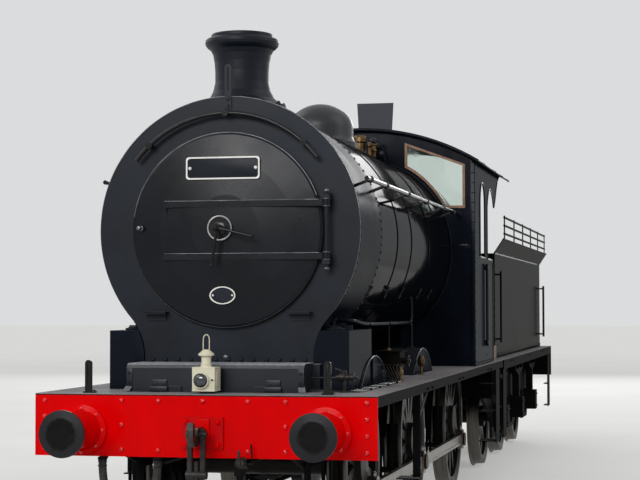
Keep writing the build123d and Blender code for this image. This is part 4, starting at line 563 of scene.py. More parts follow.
def bolts(name, places, radius, body, slot, material):
    """Hexagon nuts on washers, each with the end of its stud."""
    bm = bmesh.new()
    for point, outward in places:
        turned(bm, point, outward, [(1.35 * radius, -0.002), (1.35 * radius, 0.0035), (1.02 * radius, 0.0035)],
            12)
        turned(bm, point, outward, [(radius, 0.002), (radius, 0.75 * radius), (0.86 * radius, 0.9 * radius),
            (0.5 * radius, 0.9 * radius)], 6, chance.random())
        turned(bm, point, outward, [(0.52 * radius, 0.8 * radius), (0.5 * radius, 1.2 * radius),
            (0, 1.25 * radius)], 8)
    return done(name, bm, body, slot, material, 30)


def from_top(turn):
    """Direction at a turn, in radians, from straight up towards the right as seen from the front."""
    return Vector((math.sin(turn), 0, math.cos(turn)))


def spaced(start_point, end_point, pitch):
    """Points along a line at about a pitch, both ends included."""
    start_point, end_point = Vector(start_point), Vector(end_point)
    count = max(1, round((end_point - start_point).length / pitch))
    return [start_point.lerp(end_point, n / count) for n in range(count + 1)]


def skin(node, origin, direction):
    """Point and outward direction where a ray first meets a CAD node."""
    met, point, normal, _ = nodes[node].ray_cast(Vector(origin), Vector(direction).normalized())
    assert met, (node, origin)
    return point, normal


def on_face(node, origins, direction):
    """Places where rays along a direction meet a CAD node, facing back along it."""
    way = Vector(direction).normalized()
    found = []
    for origin in origins:
        met, point, _, _ = nodes[node].ray_cast(Vector(origin), way)
        if met:
            found.append((point, -way))
    return found


# Brake hose: a limp loop of 56 mm hose between the pipe's end and its holder under the beam
HOSE_ROUTE = [(-0.322, 0.879), (-0.322, 0.779), (-0.346, 0.669), (-0.410, 0.581), (-0.484, 0.539),
    (-0.560, 0.539), (-0.634, 0.581), (-0.698, 0.669), (-0.722, 0.779), (-0.722, 0.879)]
HOSE_Y = -7.446
HOSE_RADIUS, HOSE_END = 0.028, 0.879
NOZZLES = (-0.322, -0.722)
hose = tube("brake_hose_bag", [[(x, HOSE_Y, z) for x, z in HOSE_ROUTE]], HOSE_RADIUS, "engine", "hose_rubber",
    hose_rubber)
hose.data.bevel_resolution = 6
hose.data.resolution_u = 24
# Its radius sits on its points, so that its bounds are those of the hose
hose.data.bevel_depth = 1
for spot in hose.data.splines[0].points:
    spot.radius = HOSE_RADIUS
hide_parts("brake_hose")

# Clips that hold the hose on its nozzles, and their screws
bm = bmesh.new()
for x in NOZZLES:
    for z in (0.868, 0.838):
        turned(bm, (x, HOSE_Y, z - 0.007), UP, mm(28.5, 0, 31.5, 1, 31.5, 13, 28.5, 14), 28)
        brick(bm, (x - 0.008, HOSE_Y - 0.046, z - 0.007), (x + 0.008, HOSE_Y - 0.028, z + 0.007), 0.002)
hose_clips = done("hose_clips", bm, *FORGINGS)

# Ribs over the hose's spiral wire, about 16 mm apart along the same spline
route = [Vector((x, HOSE_Y, z)) for x, z in HOSE_ROUTE]
joins = [route[0]] + [(a + b) / 2 for a, b in zip(route[1:-2], route[2:-1])] + [route[-1]]
bm = bmesh.new()
for begin, pull, end in zip(joins, route[1:-1], joins[1:]):
    for n in range(7):
        t = (n + 0.5) / 7
        spot = begin * (1 - t) ** 2 + pull * 2 * t * (1 - t) + end * t ** 2
        along = (pull - begin) * (1 - t) + (end - pull) * t
        if spot.z < 0.825:
            turned(bm, spot, along, mm(27.2, -4.5, 29.8, -2.2, 29.8, 2.2, 27.2, 4.5), 28)
hose_ribs = done("hose_ribs", bm, "engine", "hose_rubber", hose_rubber)

# Finishes of the CAD nodes
WHEELS = {}
for name, station in zip(("leading", "driving", "trailing"), COUPLED):
    WHEELS[name + "_wheels"] = station, COUPLED_RADIUS
for name, station in zip(("leading", "middle", "trailing"), TENDER_AXLES):
    WHEELS[f"tender_{name}_wheels"] = station, TENDER_RADIUS
finishes = {
    frame_enamel: ("side_frames", "drag_box", "front_brake_pipes", "cylinder_block", "ashpan", "motion_plate",
                   "engine_axleboxes", "engine_brake_gear", "lubricators", "tender_frames", "tender_axleboxes",
                   "drawbar"),
    tread_enamel: ("running_plate", "tender_footplate"),
    step_enamel: ("engine_steps",),
    beam_enamel: ("front_buffer_beam", "buffer_housings"),
    front_hook_paint: ("front_drawhook",),
    rear_beam_paint: ("tender_beams",),
    smokebox_black: ("smokebox_front",),
    wrapper_black: ("smokebox",),
    casing_enamel_top_highlight: ("cylinder_cover",),
    door_black: ("smokebox_door",),
    chimney_black: ("chimney",),
    boiler_enamel: ("boiler", "firebox"),
    dome_black: ("dome",),
    engine_enamel: ("sandboxes", "splashers", "cab_front", "cab_sides"),
    tender_enamel: ("tender_tank", "tender_coping", "filler_lid", "tender_brake_column"),
    roof_black: ("cab_roof",),
    lid_grey: ("roof_ventilator",),
    rod_steel: ("left_coupling_rod", "right_coupling_rod"),
    rail_enamel: ("door_handles", "boiler_handrails", "cab_handrails", "tender_handrails", "lamp_irons"),
    buffer_faces: ("buffer_heads", "tender_buffers"),
    dark_steel: ("front_screw_coupling",),
    brass: ("safety_valves",),
    backhead_metals: ("backhead_fittings",),
    window_brown: ("window_frames",),
    lamp_cream: ("front_lamp",),
    sheet_glass: ("window_glass",),
    floor_planks: ("cab_floor",),
    hose_rubber: ("brake_hose",),
}
coats = {name: material for material, names in finishes.items() for name in names}
for name, (station, radius) in WHEELS.items():
    coats[name] = wheel_enamel(name.replace("wheels", "wheel_enamel"), at(0, station, radius), radius)
for name, material in coats.items():
    nodes[name].data.materials.clear()
    nodes[name].data.materials.append(material)

# Front: rivets of the buffer beam
places = []
for x, heights in ((1.15, (1.26, 1.149, 1.037, 0.925)), (0.586, (1.262, 1.095, 0.925)), (0.32, (1.262, 0.922)),
        (0, (1.264,))):
    for height in heights:
        for side in ((x, -x) if x else (0,)):
            places.append((at(side, 0, height), FRONTWARD))
rivets("beam_rivets", places, 0.0205, *RIVET_RED, 0.85)
bm = bmesh.new()
brick(bm, at(-0.05, -0.042, 0.945), at(0.056, -0.022, 1.14), 0.004)
done("hook_plate_step", bm, *BEAM_RED)
bolts("hook_plate_bolts", [(at(x, -0.024, 1.045 + z), FRONTWARD) for x in (-0.115, 0.115)
    for z in (-0.078, 0.078)], 0.019, *BEAM_RED)
rivets("buffer_flange_rivets", [(at(x + 0.15 * math.cos(turn), -0.026, 1.054 + 0.15 * math.sin(turn)),
    FRONTWARD) for x in (-BUFFER_OUT, BUFFER_OUT) for turn in (n * math.pi / 4 for n in range(8))], 0.0185,
    *RIVET_RED, 0.95)
bm = bmesh.new()
for x in (-BUFFER_OUT, BUFFER_OUT):
    turned(bm, at(x, -0.262, 1.054), FRONTWARD, mm(60, -4, 124, -4, 128, 3, 128, 22, 122, 28, 64, 28, 60, 22),
        40)
done("buffer_mouth_rings", bm, *BEAM_RED)

# Smokebox: angle-iron bolts across the foot, studs round the plate's rear edge and the blank plates
rivets("front_plate_rivets", [(at(-0.571 + 0.0955 * n, 0.676, 1.525), FRONTWARD) for n in range(13)], 0.018,
    *SMOKEBOX_PAINT, 0.9)
BOILER = at(0, 0, BOILER_HEIGHT)
places = []
for station, count in ((0.93, 66), (1.8, 70)):
    for n in range(count):
        turn = math.radians(-128 + 256 * n / (count - 1))
        outward = from_top(turn)
        places.append((Vector((0, station + BEAM, BOILER.z)) + outward * 0.9395, outward))
rivets("smokebox_rivets", places, 0.0125, *SMOKEBOX_PAINT)


def plate_face(centre, outline, rim, relief, name):
    """Blank cast plate: a dark field inside a raised white rim, standing on the domed door."""
    back = max(skin("smokebox_door", (centre[0] + x, FAR_FRONT, centre[1] + z), ALONG)[0].y for x, z in outline)
    front = min(skin("smokebox_door", (centre[0] + x, FAR_FRONT, centre[1] + z), ALONG)[0].y
        for x, z in [(0, 0)] + list(outline)) - relief
    bm = bmesh.new()
    slab(bm, [(centre[0] + x, front, centre[1] + z) for x, z in outline], (0, back - front + 0.002, 0), 0.002)
    done(name + "_field", bm, *DOOR_PAINT)
    bm = bmesh.new()
    inner = [(x - math.copysign(rim, x) * min(1, abs(x) / rim), z - math.copysign(rim, z) * min(1,
        abs(z) / rim)) for x, z in outline]
    loops = []
    for edge, y in ((outline, front + 0.001), (outline, front - 0.004), (inner, front - 0.004),
            (inner, front + 0.001)):
        loops.append([bm.verts.new((centre[0] + x, y, centre[1] + z)) for x, z in edge])
    walls(bm, loops)
    done(name + "_rim", bm, *PLATE_WHITE)
    return front


def rounded(half_width, half_height, radius, steps=6):
    """Outline of a rectangle with rounded corners."""
    points = []
    for quarter, (sx, sz) in enumerate(((1, 1), (-1, 1), (-1, -1), (1, -1))):
        for n in range(steps + 1):
            turn = math.radians(90 * quarter + 90 * n / steps)
            points.append((sx * (half_width - radius) + radius * math.cos(turn),
                sz * (half_height - radius) + radius * math.sin(turn)))
    return points


number_front = plate_face((-0.018, 2.92 + RAIL), rounded(0.2765, 0.082, 0.022), 0.011, 0.012, "number_plate")
bolts("number_plate_studs", [(Vector((x, number_front, 2.92 + RAIL)), FRONTWARD) for x in (-0.265, 0.229)],
    0.009, *PLATE_WHITE)
oval = [(0.097 * math.cos(2 * math.pi * n / 40), 0.0645 * math.sin(2 * math.pi * n / 40)) for n in range(40)]
oval_front = plate_face((-0.02, 1.995 + RAIL), oval, 0.007, 0.008, "oval_plate")
rivets("oval_plate_studs", [(Vector((-0.02 + x, oval_front, 1.995 + RAIL)), FRONTWARD)
    for x in (-0.073, 0.073)], 0.0085, *PLATE_WHITE)


def ring(bm, centre, axis, radius, wire, sides=64, round_sides=8):
    """Round-section ring about an axis."""
    turned(bm, centre, axis, [(radius + wire * math.cos(2 * math.pi * n / round_sides),
        wire * math.sin(2 * math.pi * n / round_sides)) for n in range(round_sides + 1)], sides)


def strip(name, runs, radius, body, slot, material):
    """Half-round moulding or rod that follows straight runs between its points."""
    return tube(name, runs, radius, body, slot, material, order=2)


def bend(centre, across, up, radius, start_turn, end_turn, steps):
    """Points of an arc, with its turns in degrees from the first direction to the second."""
    points = []
    for n in range(steps + 1):
        turn = math.radians(start_turn + (end_turn - start_turn) * n / steps)
        points.append(Vector(centre) + radius * (math.cos(turn) * Vector(across) + math.sin(turn) * Vector(up)))
    return points


# Smokebox front: painted highlights in bright grey steel along the upper edges of the front plate, the door and
# its straps, the door rim's lower arc in black enamel, and the dart's bright ring
strip("front_plate_edge", [bend(at(0, 0.675, BOILER_HEIGHT), ACROSS, UP, 0.979, 28, 172, 48)], 0.0035, "engine",
    "smokebox_paint", highlight_edge_steel)
strip("door_edge_above", [bend(at(0, 0.6345, BOILER_HEIGHT), ACROSS, UP, 0.7115, 20, 172, 64)], 0.0045,
    *DOOR_HIGHLIGHT)
strip("door_edge_below", [bend(at(0, 0.6345, BOILER_HEIGHT), ACROSS, UP, 0.7115, 172, 380, 80)], 0.0045, "door",
    "smokebox_paint", rail_enamel)
strip("strap_edges", [[skin("smokebox_door", (-0.455 + 1.15 * n / 40, FAR_FRONT, top + RAIL - 0.003),
    ALONG)[0] + UP * 0.001 for n in range(41)] for top in (2.684, 2.301)], 0.003, *DOOR_HIGHLIGHT)
DART = at(-0.034, 0.556, 2.482)  # seat of the dart that locks the door
bm = bmesh.new()
ring(bm, DART, FRONTWARD, 0.0865, 0.0072, 48)
done("dart_ring", bm, "door", "bright_steel", bright_steel)
bm = bmesh.new()
turned(bm, DART, FRONTWARD, mm(50, 0, 50, 6, 34, 12, 17, 12), 32)
turned(bm, DART + FRONTWARD * 0.112, FRONTWARD, mm(26, 0, 26, 14, 20, 19, 12, 19), 6)
turned(bm, DART + FRONTWARD * 0.118, FRONTWARD, mm(14, 0, 14, 16, 8, 21, 0, 22), 16)
for knob, away in ((at(-0.034 + 0.262, 0.454, 2.417), Vector((0.97, 0, -0.24))),
        (at(-0.074, 0.484, 2.214), Vector((-0.147, 0, -0.99)))):
    turned(bm, knob - away * 0.004, away, mm(11.2, 0, 14.5, 4, 15.5, 12, 12, 20, 0, 23), 16)
done("dart_nut_and_knobs", bm, "door", "bright_steel", rail_enamel)

# Strap ends by the hinge post, with their small bolts and the knuckle washers
bolts("strap_end_bolts", [(at(x, 0.588, height + z), FRONTWARD) for height in STRAPS for x in (0.655, 0.69)
    for z in (0.0115, -0.0115)], 0.0075, *DOOR_PAINT)
# Knuckle washers and post caps in bright grey steel: painted highlights
bm = bmesh.new()
for height in STRAPS:
    for side in SIDES:
        turned(bm, at(0.75, 0.59, height) + UP * side * 0.0245, UP * side, mm(16, 0, 30, 0, 30, 4, 16, 4), 24)
done("hinge_washers", bm, "door", "bright_steel", highlight_edge_steel)
bm = bmesh.new()
for height, way in ((2.742, 1), (2.19, -1)):
    turned(bm, at(0.75, 0.59, height) - UP * way * 0.002, UP * way, mm(21, 0, 21, 12, 12, 20, 0, 21), 20)
done("hinge_post_caps", bm, *HIGHLIGHT_FITTINGS)

# Worn tread plates on the footsteps below the door, and the bolts of the top lamp iron
bm = bmesh.new()
for x in (-0.63, 0.45):
    brick(bm, at(x + 0.002, 0.579, 1.8715), at(x + 0.178, 0.674, 1.8765), 0.0015)
done("door_step_treads", bm, "engine", "smokebox_paint", step_enamel)
bolts("top_iron_bolts", [(at(0, 0.664, z), FRONTWARD) for z in (3.383, 3.433)], 0.0115, *SMOKEBOX_PAINT)

# Casing: angle strips at its ends, flanged brackets at its foot and a grease cap on the foot angle
bm = bmesh.new()
for side in SIDES:
    brick(bm, at(side * 0.606, 0.294, 1.345), at(side * 0.65, 0.3005, 1.472), 0.002)
    slab(bm, [at(side * 0.606, 0.2985, 1.352), at(side * 0.652, 0.2985, 1.352), at(side * 0.668, 0.262, 1.3135),
        at(side * 0.618, 0.262, 1.3135)], (0, 0.006, 0.004), 0.001)
for low, high in ((-0.471, -0.341), (0.366, 0.488)):
    brick(bm, at(low + 0.012, 0.286, 1.34), at(high - 0.008, 0.3005, 1.394), 0.003)
    brick(bm, at(low, 0.27, 1.309), at(high, 0.3005, 1.346), 0.003)
done("casing_angles", bm, *CASING_PAINT)
bolts("casing_bracket_bolts", [(at(x, 0.286, 1.368), FRONTWARD) for x in (-0.435, -0.372, 0.402, 0.456)],
    0.0075, *CASING_PAINT)
bolts("casing_strip_bolts", [(at(side * 0.628, 0.294, z), FRONTWARD) for side in SIDES for z in (1.375, 1.44)],
    0.008, *SMOKEBOX_PAINT)
# Grease cap in bright grey steel: a painted highlight on a dark cap
bm = bmesh.new()
turned(bm, at(-0.015, 0.674, 1.547), FRONTWARD, mm(24, 0, 24, 10, 19, 20, 11, 27, 0, 29), 20)
done("grease_cap", bm, *HIGHLIGHT_FITTINGS)

# Lamp: bullseye in its ring, spectacle slot cover, rolled lips and the wire handle
LAMP = at(-0.017, 0.15, 0)


def by_lamp(x, y, height):
    """Point across and behind the lamp's middle, and above the rail tops."""
    return Vector((LAMP.x + x, LAMP.y + y, height + RAIL))


LENS = Vector((-0.031, LAMP.y - 0.096, 1.402 + RAIL))
bm = bmesh.new()
turned(bm, LENS, FRONTWARD, mm(56, -10, 57.5, 0, 56, 6, 51, 7, 49.5, 2), 40)
brick(bm, by_lamp(-0.0825, -0.0765, 1.4835), by_lamp(0.0825, 0.08, 1.4935), 0.003)
brick(bm, by_lamp(-0.0825, -0.0765, 1.3255), by_lamp(0.0825, 0.08, 1.334), 0.002)
ring(bm, by_lamp(0, 0, 1.511), UP, 0.036, 0.004, 28)
ring(bm, by_lamp(0, 0, 1.561), UP, 0.036, 0.003, 28)
for side in SIDES:
    brick(bm, by_lamp(side * 0.081 - 0.004, -0.03, 1.36), by_lamp(side * 0.081 + 0.004, 0.03, 1.46), 0.0025)
turned(bm, by_lamp(0.0645, -0.0745, 1.405), FRONTWARD, mm(14.5, 0, 14.5, 4, 9.5, 5, 9, 1), 20)
brick(bm, by_lamp(-0.024, 0.077, 1.40), by_lamp(0.024, 0.0935, 1.475), 0.002)
done("lamp_fittings", bm, *LAMP_PAINT)
bm = bmesh.new()
turned(bm, LENS, FRONTWARD, mm(49.8, 0, 46, 8, 36, 15.5, 22, 20.5, 0, 22.5), 40)
turned(bm, by_lamp(0.0645, -0.0755, 1.405), FRONTWARD, mm(9.2, 0, 6, 2, 0, 2.5), 16)
done("lamp_lens", bm, "engine", "window_glass", lens_glass, 60)
tube("lamp_handle", [[by_lamp(x, 0, z) for x, z in ((-0.021, 1.585), (-0.0225, 1.64), (-0.022, 1.70),
    (-0.008, 1.7175), (0.008, 1.7175), (0.022, 1.70), (0.0225, 1.64), (0.021, 1.585))]], 0.0036, *LAMP_PAINT)

# Feet of the lamp irons, and the thin plates behind their slots
bm = bmesh.new()
for x in (-LAMP_IRON_OUT, LAMP_IRON_OUT):
    brick(bm, at(x - 0.0085, 0.0875, 1.36), at(x + 0.0085, 0.0925, 1.5175), 0.001)
done("lamp_iron_backs", bm, *BEADING)
bolts("lamp_iron_bolts", [(at(x + dx, 0.135, TREAD + 0.012), UP) for x in (-LAMP_IRON_OUT, LAMP_IRON_OUT)
    for dx in (-0.024, 0.024)], 0.0085, "engine", "frame_paint", dark_steel)

# Door: knob by its rim, in bright grey steel as a painted highlight, and the joint between the straps
bm = bmesh.new()
knob = skin("smokebox_door", (-0.652, FAR_FRONT, 2.488 + RAIL), ALONG)[0]
turned(bm, knob, FRONTWARD, mm(20, -4, 20, 4, 9, 8, 9, 26, 16, 30, 21, 40, 20.5, 50, 13, 60, 0, 63), 24)
done("door_knob", bm, "door", "bright_steel", highlight_edge_steel)
tube("door_joint", [[skin("smokebox_door", (-0.446, FAR_FRONT, 2.268 + RAIL + 0.41 * n / 10), ALONG)[0]
    for n in range(11)]], 0.0028, *DOOR_PAINT)

# Screw of the coupling between its two nuts, and the cock of the heating pipe
bm = bmesh.new()
threads = [(0.0205 if n % 2 else 0.0245, 0.006 * n) for n in range(26)]
turned(bm, at(0, -0.15, 0.592), UP, [(0.0, 0.0)] + threads + [(0.0, 0.006 * 26)], 20)
done("coupling_screw_thread", bm, *FORGINGS)
bm = bmesh.new()
turned(bm, at(0.29, -0.048, 0.805), UP, mm(22, 0, 44, 4, 44, 22, 34, 30, 34, 60, 43, 66, 43, 74, 20, 80), 6)
turned(bm, at(0.29, -0.048, 0.848), FRONTWARD, mm(24, 0, 24, 50, 31, 53, 31, 64, 12, 66, 12, 80, 0, 82), 20)
brick(bm, at(0.281, -0.128, 0.84), at(0.299, -0.118, 0.94), 0.004)
done("heating_cock", bm, *FORGINGS)

# Chimney skirt and boiler bands: bolts and band screws
CHIMNEY = Vector((0, -6.367, 0))
places = []
for n in range(12):
    turn = 2 * math.pi * (n + 0.5) / 12
    places.append(skin("chimney", CHIMNEY + Vector((math.sin(turn), math.cos(turn), 0)) * 0.312 + UP * 4.5,
        -UP))
bolts("chimney_skirt_bolts", places, 0.012, "engine", "smokebox_paint", chimney_black)
bm = bmesh.new()
for station in (1.82, 2.6, 3.33, 4.32, 4.97):
    for side in SIDES:
        turn = math.radians(118)
        outward = Vector((side * math.sin(turn), 0, math.cos(turn)))
        girth = Vector((side * math.cos(turn), 0, -math.sin(turn)))
        turned(bm, Vector((0, station + BEAM, BOILER.z)) + outward * 0.946, girth,
            mm(0, -50, 11, -50, 11, -22, 6, -20, 6, 20, 11, 22, 11, 50, 0, 50), 6)
done("band_screws", bm, *FORGINGS)

# Whistle bell and the valve between the safety valves and the cab
bm = bmesh.new()
for x in (-0.095, 0.095):
    turned(bm, at(x, 5.33, 3.377), UP, mm(62, 0, 62, 12, 50, 18, 44, 18), 32)
turned(bm, at(0.19, 5.33, 3.33), UP, mm(30, 0, 30, 60, 22, 70, 22, 160, 34, 170, 34, 200, 16, 210, 0, 212), 20)
turned(bm, at(0.19, 5.33, 3.515), ACROSS, mm(11, 30, 11, 70, 24, 72, 24, 80, 0, 81), 16)
done("whistle_and_valve", bm, *BRASSWORK)
bm = bmesh.new()
turned(bm, at(0.19, 5.56, 3.572), UP, [(0, -0.038)] + [(0.038 * math.sin(math.pi * n / 12),
    -0.038 * math.cos(math.pi * n / 12)) for n in range(1, 12)] + [(0, 0.038)], 24)
done("whistle_ball", bm, *RAIL_FITTINGS)
tube("whistle_pipe", [[at(0.19, 5.58, 3.46), at(0.18, 5.7, 3.5), at(0.18, 5.79, 3.53), at(0.22, 5.795, 3.535),
    at(0.262, 5.795, 3.505), at(0.266, 5.795, 3.42), at(0.27, 5.795, 3.32)]], 0.0115, *PIPE_PAINT)

# Cab front: edge angles with their rivets, waist seam and the angle round the firebox
CAB = -1.6  # front face of the cab along Y
bm = bmesh.new()
for side in SIDES:
    brick(bm, (side * 1.129, CAB - 0.0045, 1.34), (side * 1.1785, CAB + 0.001, 3.415), 0.0015)
    brick(bm, (side * 0.945, CAB - 0.004, 2.523), (side * 1.131, CAB + 0.001, 2.569), 0.0015)
brick(bm, (-0.25, CAB - 0.006, 3.452), (0.25, CAB + 0.001, 3.54), 0.004)
done("cab_front_strips", bm, *CAB_PAINT)
places = [(Vector((side * 1.153, CAB - 0.0045, 1.39 + 0.1 * n)), FRONTWARD) for side in SIDES
    for n in range(21)]
places += [(Vector((side * (0.97 + 0.045 * n), CAB - 0.004, 2.546)), FRONTWARD) for side in SIDES
    for n in range(4)]
places += [(Vector((x, CAB - 0.006, z)), FRONTWARD) for x in (-0.22, -0.07, 0.07, 0.22) for z in (3.475, 3.52)]
rivets("cab_front_rivets", places, 0.0085, *CAB_PAINT)
strip("firebox_angle", [bend(Vector((0, CAB - 0.004, BOILER.z)), ACROSS, UP, 0.938, -50, 230, 72)], 0.009,
    *CAB_PAINT)


# Roof: seam ribs, edge beads and the curved rain strips above the openings
def on_roof(x, station):
    """Point on top of the cab roof."""
    return skin("cab_roof", (max(-ROOF_OUT, min(ROOF_OUT, x)), station + BEAM, 5), -UP)[0]


strip("roof_seams", [[on_roof(-ROOF_OUT + 2 * ROOF_OUT * n / 28, station) for n in range(29)]
    for station in (5.774, 6.36, 7.42, 8.12, 8.756)], 0.0075, *ROOFING)
strip("roof_front_band", [[on_roof(-1.21 + 2.42 * n / 28, 5.775) + UP * -0.012 + FRONTWARD * 0.006
    for n in range(29)]], 0.018, *CAB_PAINT)
strip("roof_edges", [[(side * 1.2205, 5.772 + BEAM, 3.403), (side * 1.2205, 8.758 + BEAM, 3.403)]
    for side in SIDES], 0.0085, *ROOFING)
tube("rain_strips", [[on_roof(side * x, station) + UP * 0.003 for x, station in ((1.12, 5.95), (1.02, 6.1),
    (0.96, 6.3), (0.95, 6.6), (0.95, 7.2), (0.95, 7.8), (0.97, 8.2), (1.03, 8.45), (1.12, 8.6))]
    for side in SIDES], 0.009, *ROOFING)
rivets("roof_rivets", [(on_roof(-1.17 + 2.34 * n / 26, station + shift), UP) for station in (6.36, 7.42, 8.12)
    for shift in (-0.022, 0.022) for n in range(27)], 0.0065, *ROOFING)


# Cab sides: mouldings round the window and the opening, waist bead and rivet rows
def side_arc(centre_station, centre_height, radius, from_turn, to_turn, steps=14):
    """Arc in the plane of the cab side, as station and height."""
    return [(centre_station + radius * math.cos(math.radians(from_turn + (to_turn - from_turn) * n / steps)),
        centre_height + radius * math.sin(math.radians(from_turn + (to_turn - from_turn) * n / steps)))
        for n in range(steps + 1)]


window_edge = [(6.255, 2.42), (6.695, 2.42)] + side_arc(6.475, 2.98, 0.22, 0, 180) + [(6.255, 2.42)]
opening_edge = ([(7.42, 1.316)] + side_arc(7.29, 2.285, 0.13, 0, 90, 8) + [(6.9, 2.415), (6.9, 2.96),
    (6.955, 3.06), (7.04, 3.137), (7.17, 3.185), (7.34, 3.157), (7.5, 3.06), (7.56, 3.0), (7.66, 3.08),
    (7.79, 3.215), (7.89, 3.3), (8.02, 3.365), (8.14, 3.39)])
strip("cab_window_moulding", [[at(side * 1.1785, *spot) for spot in window_edge] for side in SIDES], 0.0085,
    *BEADING)
strip("cab_opening_moulding", [[at(side * 1.1765, *spot) for spot in opening_edge] for side in SIDES], 0.0085,
    *BEADING)
strip("cab_waist_bead", [[at(side * CAB_OUT, 5.842, 2.415), at(side * CAB_OUT, 6.24, 2.415)] for side in SIDES],
    0.006, *CAB_PAINT)
places = []
for side in SIDES:
    way = ACROSS * side
    for n in range(20):
        places.append((at(side * CAB_OUT, 5.87, 1.36 + 0.1 * n), way))
    for n in range(16):
        places.append((at(side * CAB_OUT, min(5.92 + 0.1 * n, 7.39), 1.34), way))
    for n in range(10):
        places.append((at(side * CAB_OUT, 6.85, 1.4 + 0.1 * n), way))
rivets("cab_side_rivets", places, 0.0075, *CAB_PAINT)
bm = bmesh.new()
for side in SIDES:
    for height in (1.53, 2.32):
        turned(bm, at(side * CAB_OUT, 6.7, height), ACROSS * side, mm(28, -1, 28, 5, 16, 9, 11.5, 12), 20)
        turned(bm, at(side * 1.2, 6.7, height), ACROSS * side, mm(0, -18, 17, -12, 20.5, 0, 17, 12, 0, 18), 16)
done("cab_rail_knobs", bm, *RAIL_FITTINGS)

# Running plate: valance bolts, splasher beads and rivets
bolts("valance_bolts", [(at(side * VALANCE_OUT, station, 1.25), ACROSS * side) for side in SIDES
    for station in (2.3, 2.55, 4.25, 4.5, 6.53, 6.78)], 0.0095, *CHASSIS_PAINT)
strip("splasher_beads", [bend(Vector((side * 0.908, station + BEAM, 0.7305)), ALONG, UP, 0.829, 47.5, 132.5, 30)
    for side in SIDES for station in COUPLED[:2]], 0.006, *BEADING)
places = []
for side in SIDES:
    for station in COUPLED[:2]:
        places += on_face("splashers", [(side * 2, station + BEAM - 0.52 + 0.065 * n, 1.354)
            for n in range(17)], (-side, 0, 0))
rivets("splasher_rivets", places, 0.0075, *CAB_PAINT)
places = []
for side in SIDES:
    places += on_face("sandboxes", [(side * x, FAR_FRONT, 1.365) for x in (0.66, 0.76, 0.86)], ALONG)
    places += on_face("sandboxes", [(side * 2, station + BEAM, 1.365)
        for station in (0.72, 0.9, 1.08, 1.26, 1.44)], (-side, 0, 0))
rivets("sandbox_rivets", places, 0.0085, *CAB_PAINT)
bm = bmesh.new()
for side in SIDES:
    lid = skin("sandboxes", (side * 0.75, 0.83 + BEAM, 3), -UP)[0]
    turned(bm, lid, UP, mm(83, -4, 83, 12, 78, 17, 68, 18, 66, 12), 32)
    turned(bm, lid, UP, mm(66, 8, 60, 26, 30, 34, 0, 36), 32)
    turned(bm, lid + UP * 0.034, UP, mm(9, -2, 9, 16, 19, 20, 19, 30, 0, 36), 16)
done("sandbox_lids", bm, *CAB_PAINT)

# Lubricator: unions, handwheel, cap, and its six oil pipes along the running plate
bm = bmesh.new()
for n in range(6):
    turned(bm, at(0.845 + 0.026 * n, 2.332, 1.44), FRONTWARD, mm(9, -2, 9, 12, 6.5, 16, 6.5, 24, 0, 24), 6)
turned(bm, at(0.87, 2.445, 1.55), UP, mm(26, 0, 26, 12, 20, 18, 8, 20, 8, 28, 0, 30), 20)
done("lubricator_unions", bm, *BRASSWORK)
bm = bmesh.new()
wheel_at = at(1.045, 2.44, 1.47)
ring(bm, wheel_at, ACROSS, 0.042, 0.0045, 32)
for n in range(4):
    turn = math.pi * n / 2 + 0.4
    spoke = Vector((0, math.cos(turn), math.sin(turn)))
    turned(bm, wheel_at, spoke, mm(0, 0, 3.5, 0, 3.5, 41, 0, 41), 8)
turned(bm, wheel_at - ACROSS * 0.03, ACROSS, mm(8, 0, 8, 36, 13, 37, 13, 44, 0, 46), 16)
done("lubricator_handwheel", bm, *FORGINGS)
runs = []
for n in range(6):
    x = 0.845 + 0.026 * n
    lane = 0.94 + 0.017 * n
    back = 0.02 * n
    route = ((x, 2.31, 1.44), (x, 2.27, 1.44), (x, 2.225, 1.425), (lane - 0.01, 2.2, 1.33),
        (lane, 2.15, OIL_PIPE), (lane, 2.0, OIL_PIPE), (lane, 0.85 - back, OIL_PIPE),
        (lane, 0.6 - back, OIL_PIPE), (lane - 0.01, 0.535 - back, OIL_PIPE),
        (lane - 0.06, 0.52 - back, OIL_PIPE), (0.66, 0.52 - back, 1.325))
    runs.append([at(*spot) for spot in route])
tube("lubricator_pipes", runs, 0.0045, *FORGINGS)
bm = bmesh.new()
for station in PIPE_CLIPS:
    brick(bm, at(0.925, station - 0.008, 1.307), at(1.042, station + 0.008, 1.3215), 0.002)
done("pipe_clips", bm, *CHASSIS_PAINT)
bolts("pipe_clip_screws", [(at(x, station, 1.32), UP) for station in PIPE_CLIPS for x in (0.93, 1.037)], 0.0055,
    *FORGINGS)
bm = bmesh.new()
turned(bm, at(1.0, 2.285, TREAD), UP, mm(30, 0, 30, 8, 18, 12, 18, 50, 25, 55, 25, 85, 16, 95, 16, 120, 20, 124,
    0, 130), 24)
turned(bm, at(0.95, 3.71, TREAD), UP, mm(32, 0, 32, 8, 11, 13, 11, 68, 24, 78, 31, 100, 31, 135, 20, 162, 0,
    170), 24)
done("brass_cocks", bm, *BRASSWORK)
bm = bmesh.new()
turned(bm, at(0.846, 0.45, 1.415), ACROSS, mm(0, 0, 18, 0, 18, 20, 32, 25, 32, 60, 20, 66, 20, 100, 28, 105, 28,
    130, 12, 136, 12, 158, 0, 160), 24)
turned(bm, at(0.905, 0.45, TREAD), UP, mm(34, 0, 34, 8, 13, 12, 13, 85, 20, 90, 20, 150, 12, 156, 0, 158), 24)
done("drain_cock", bm, *FORGINGS)
tube("cock_rod", [[at(0.85, 0.45, 1.413), at(0.655, 0.45, 1.408)], [at(0.905, 0.45, 1.452),
    at(0.84, 0.45, 1.476)]], 0.0065, *FORGINGS, order=2)

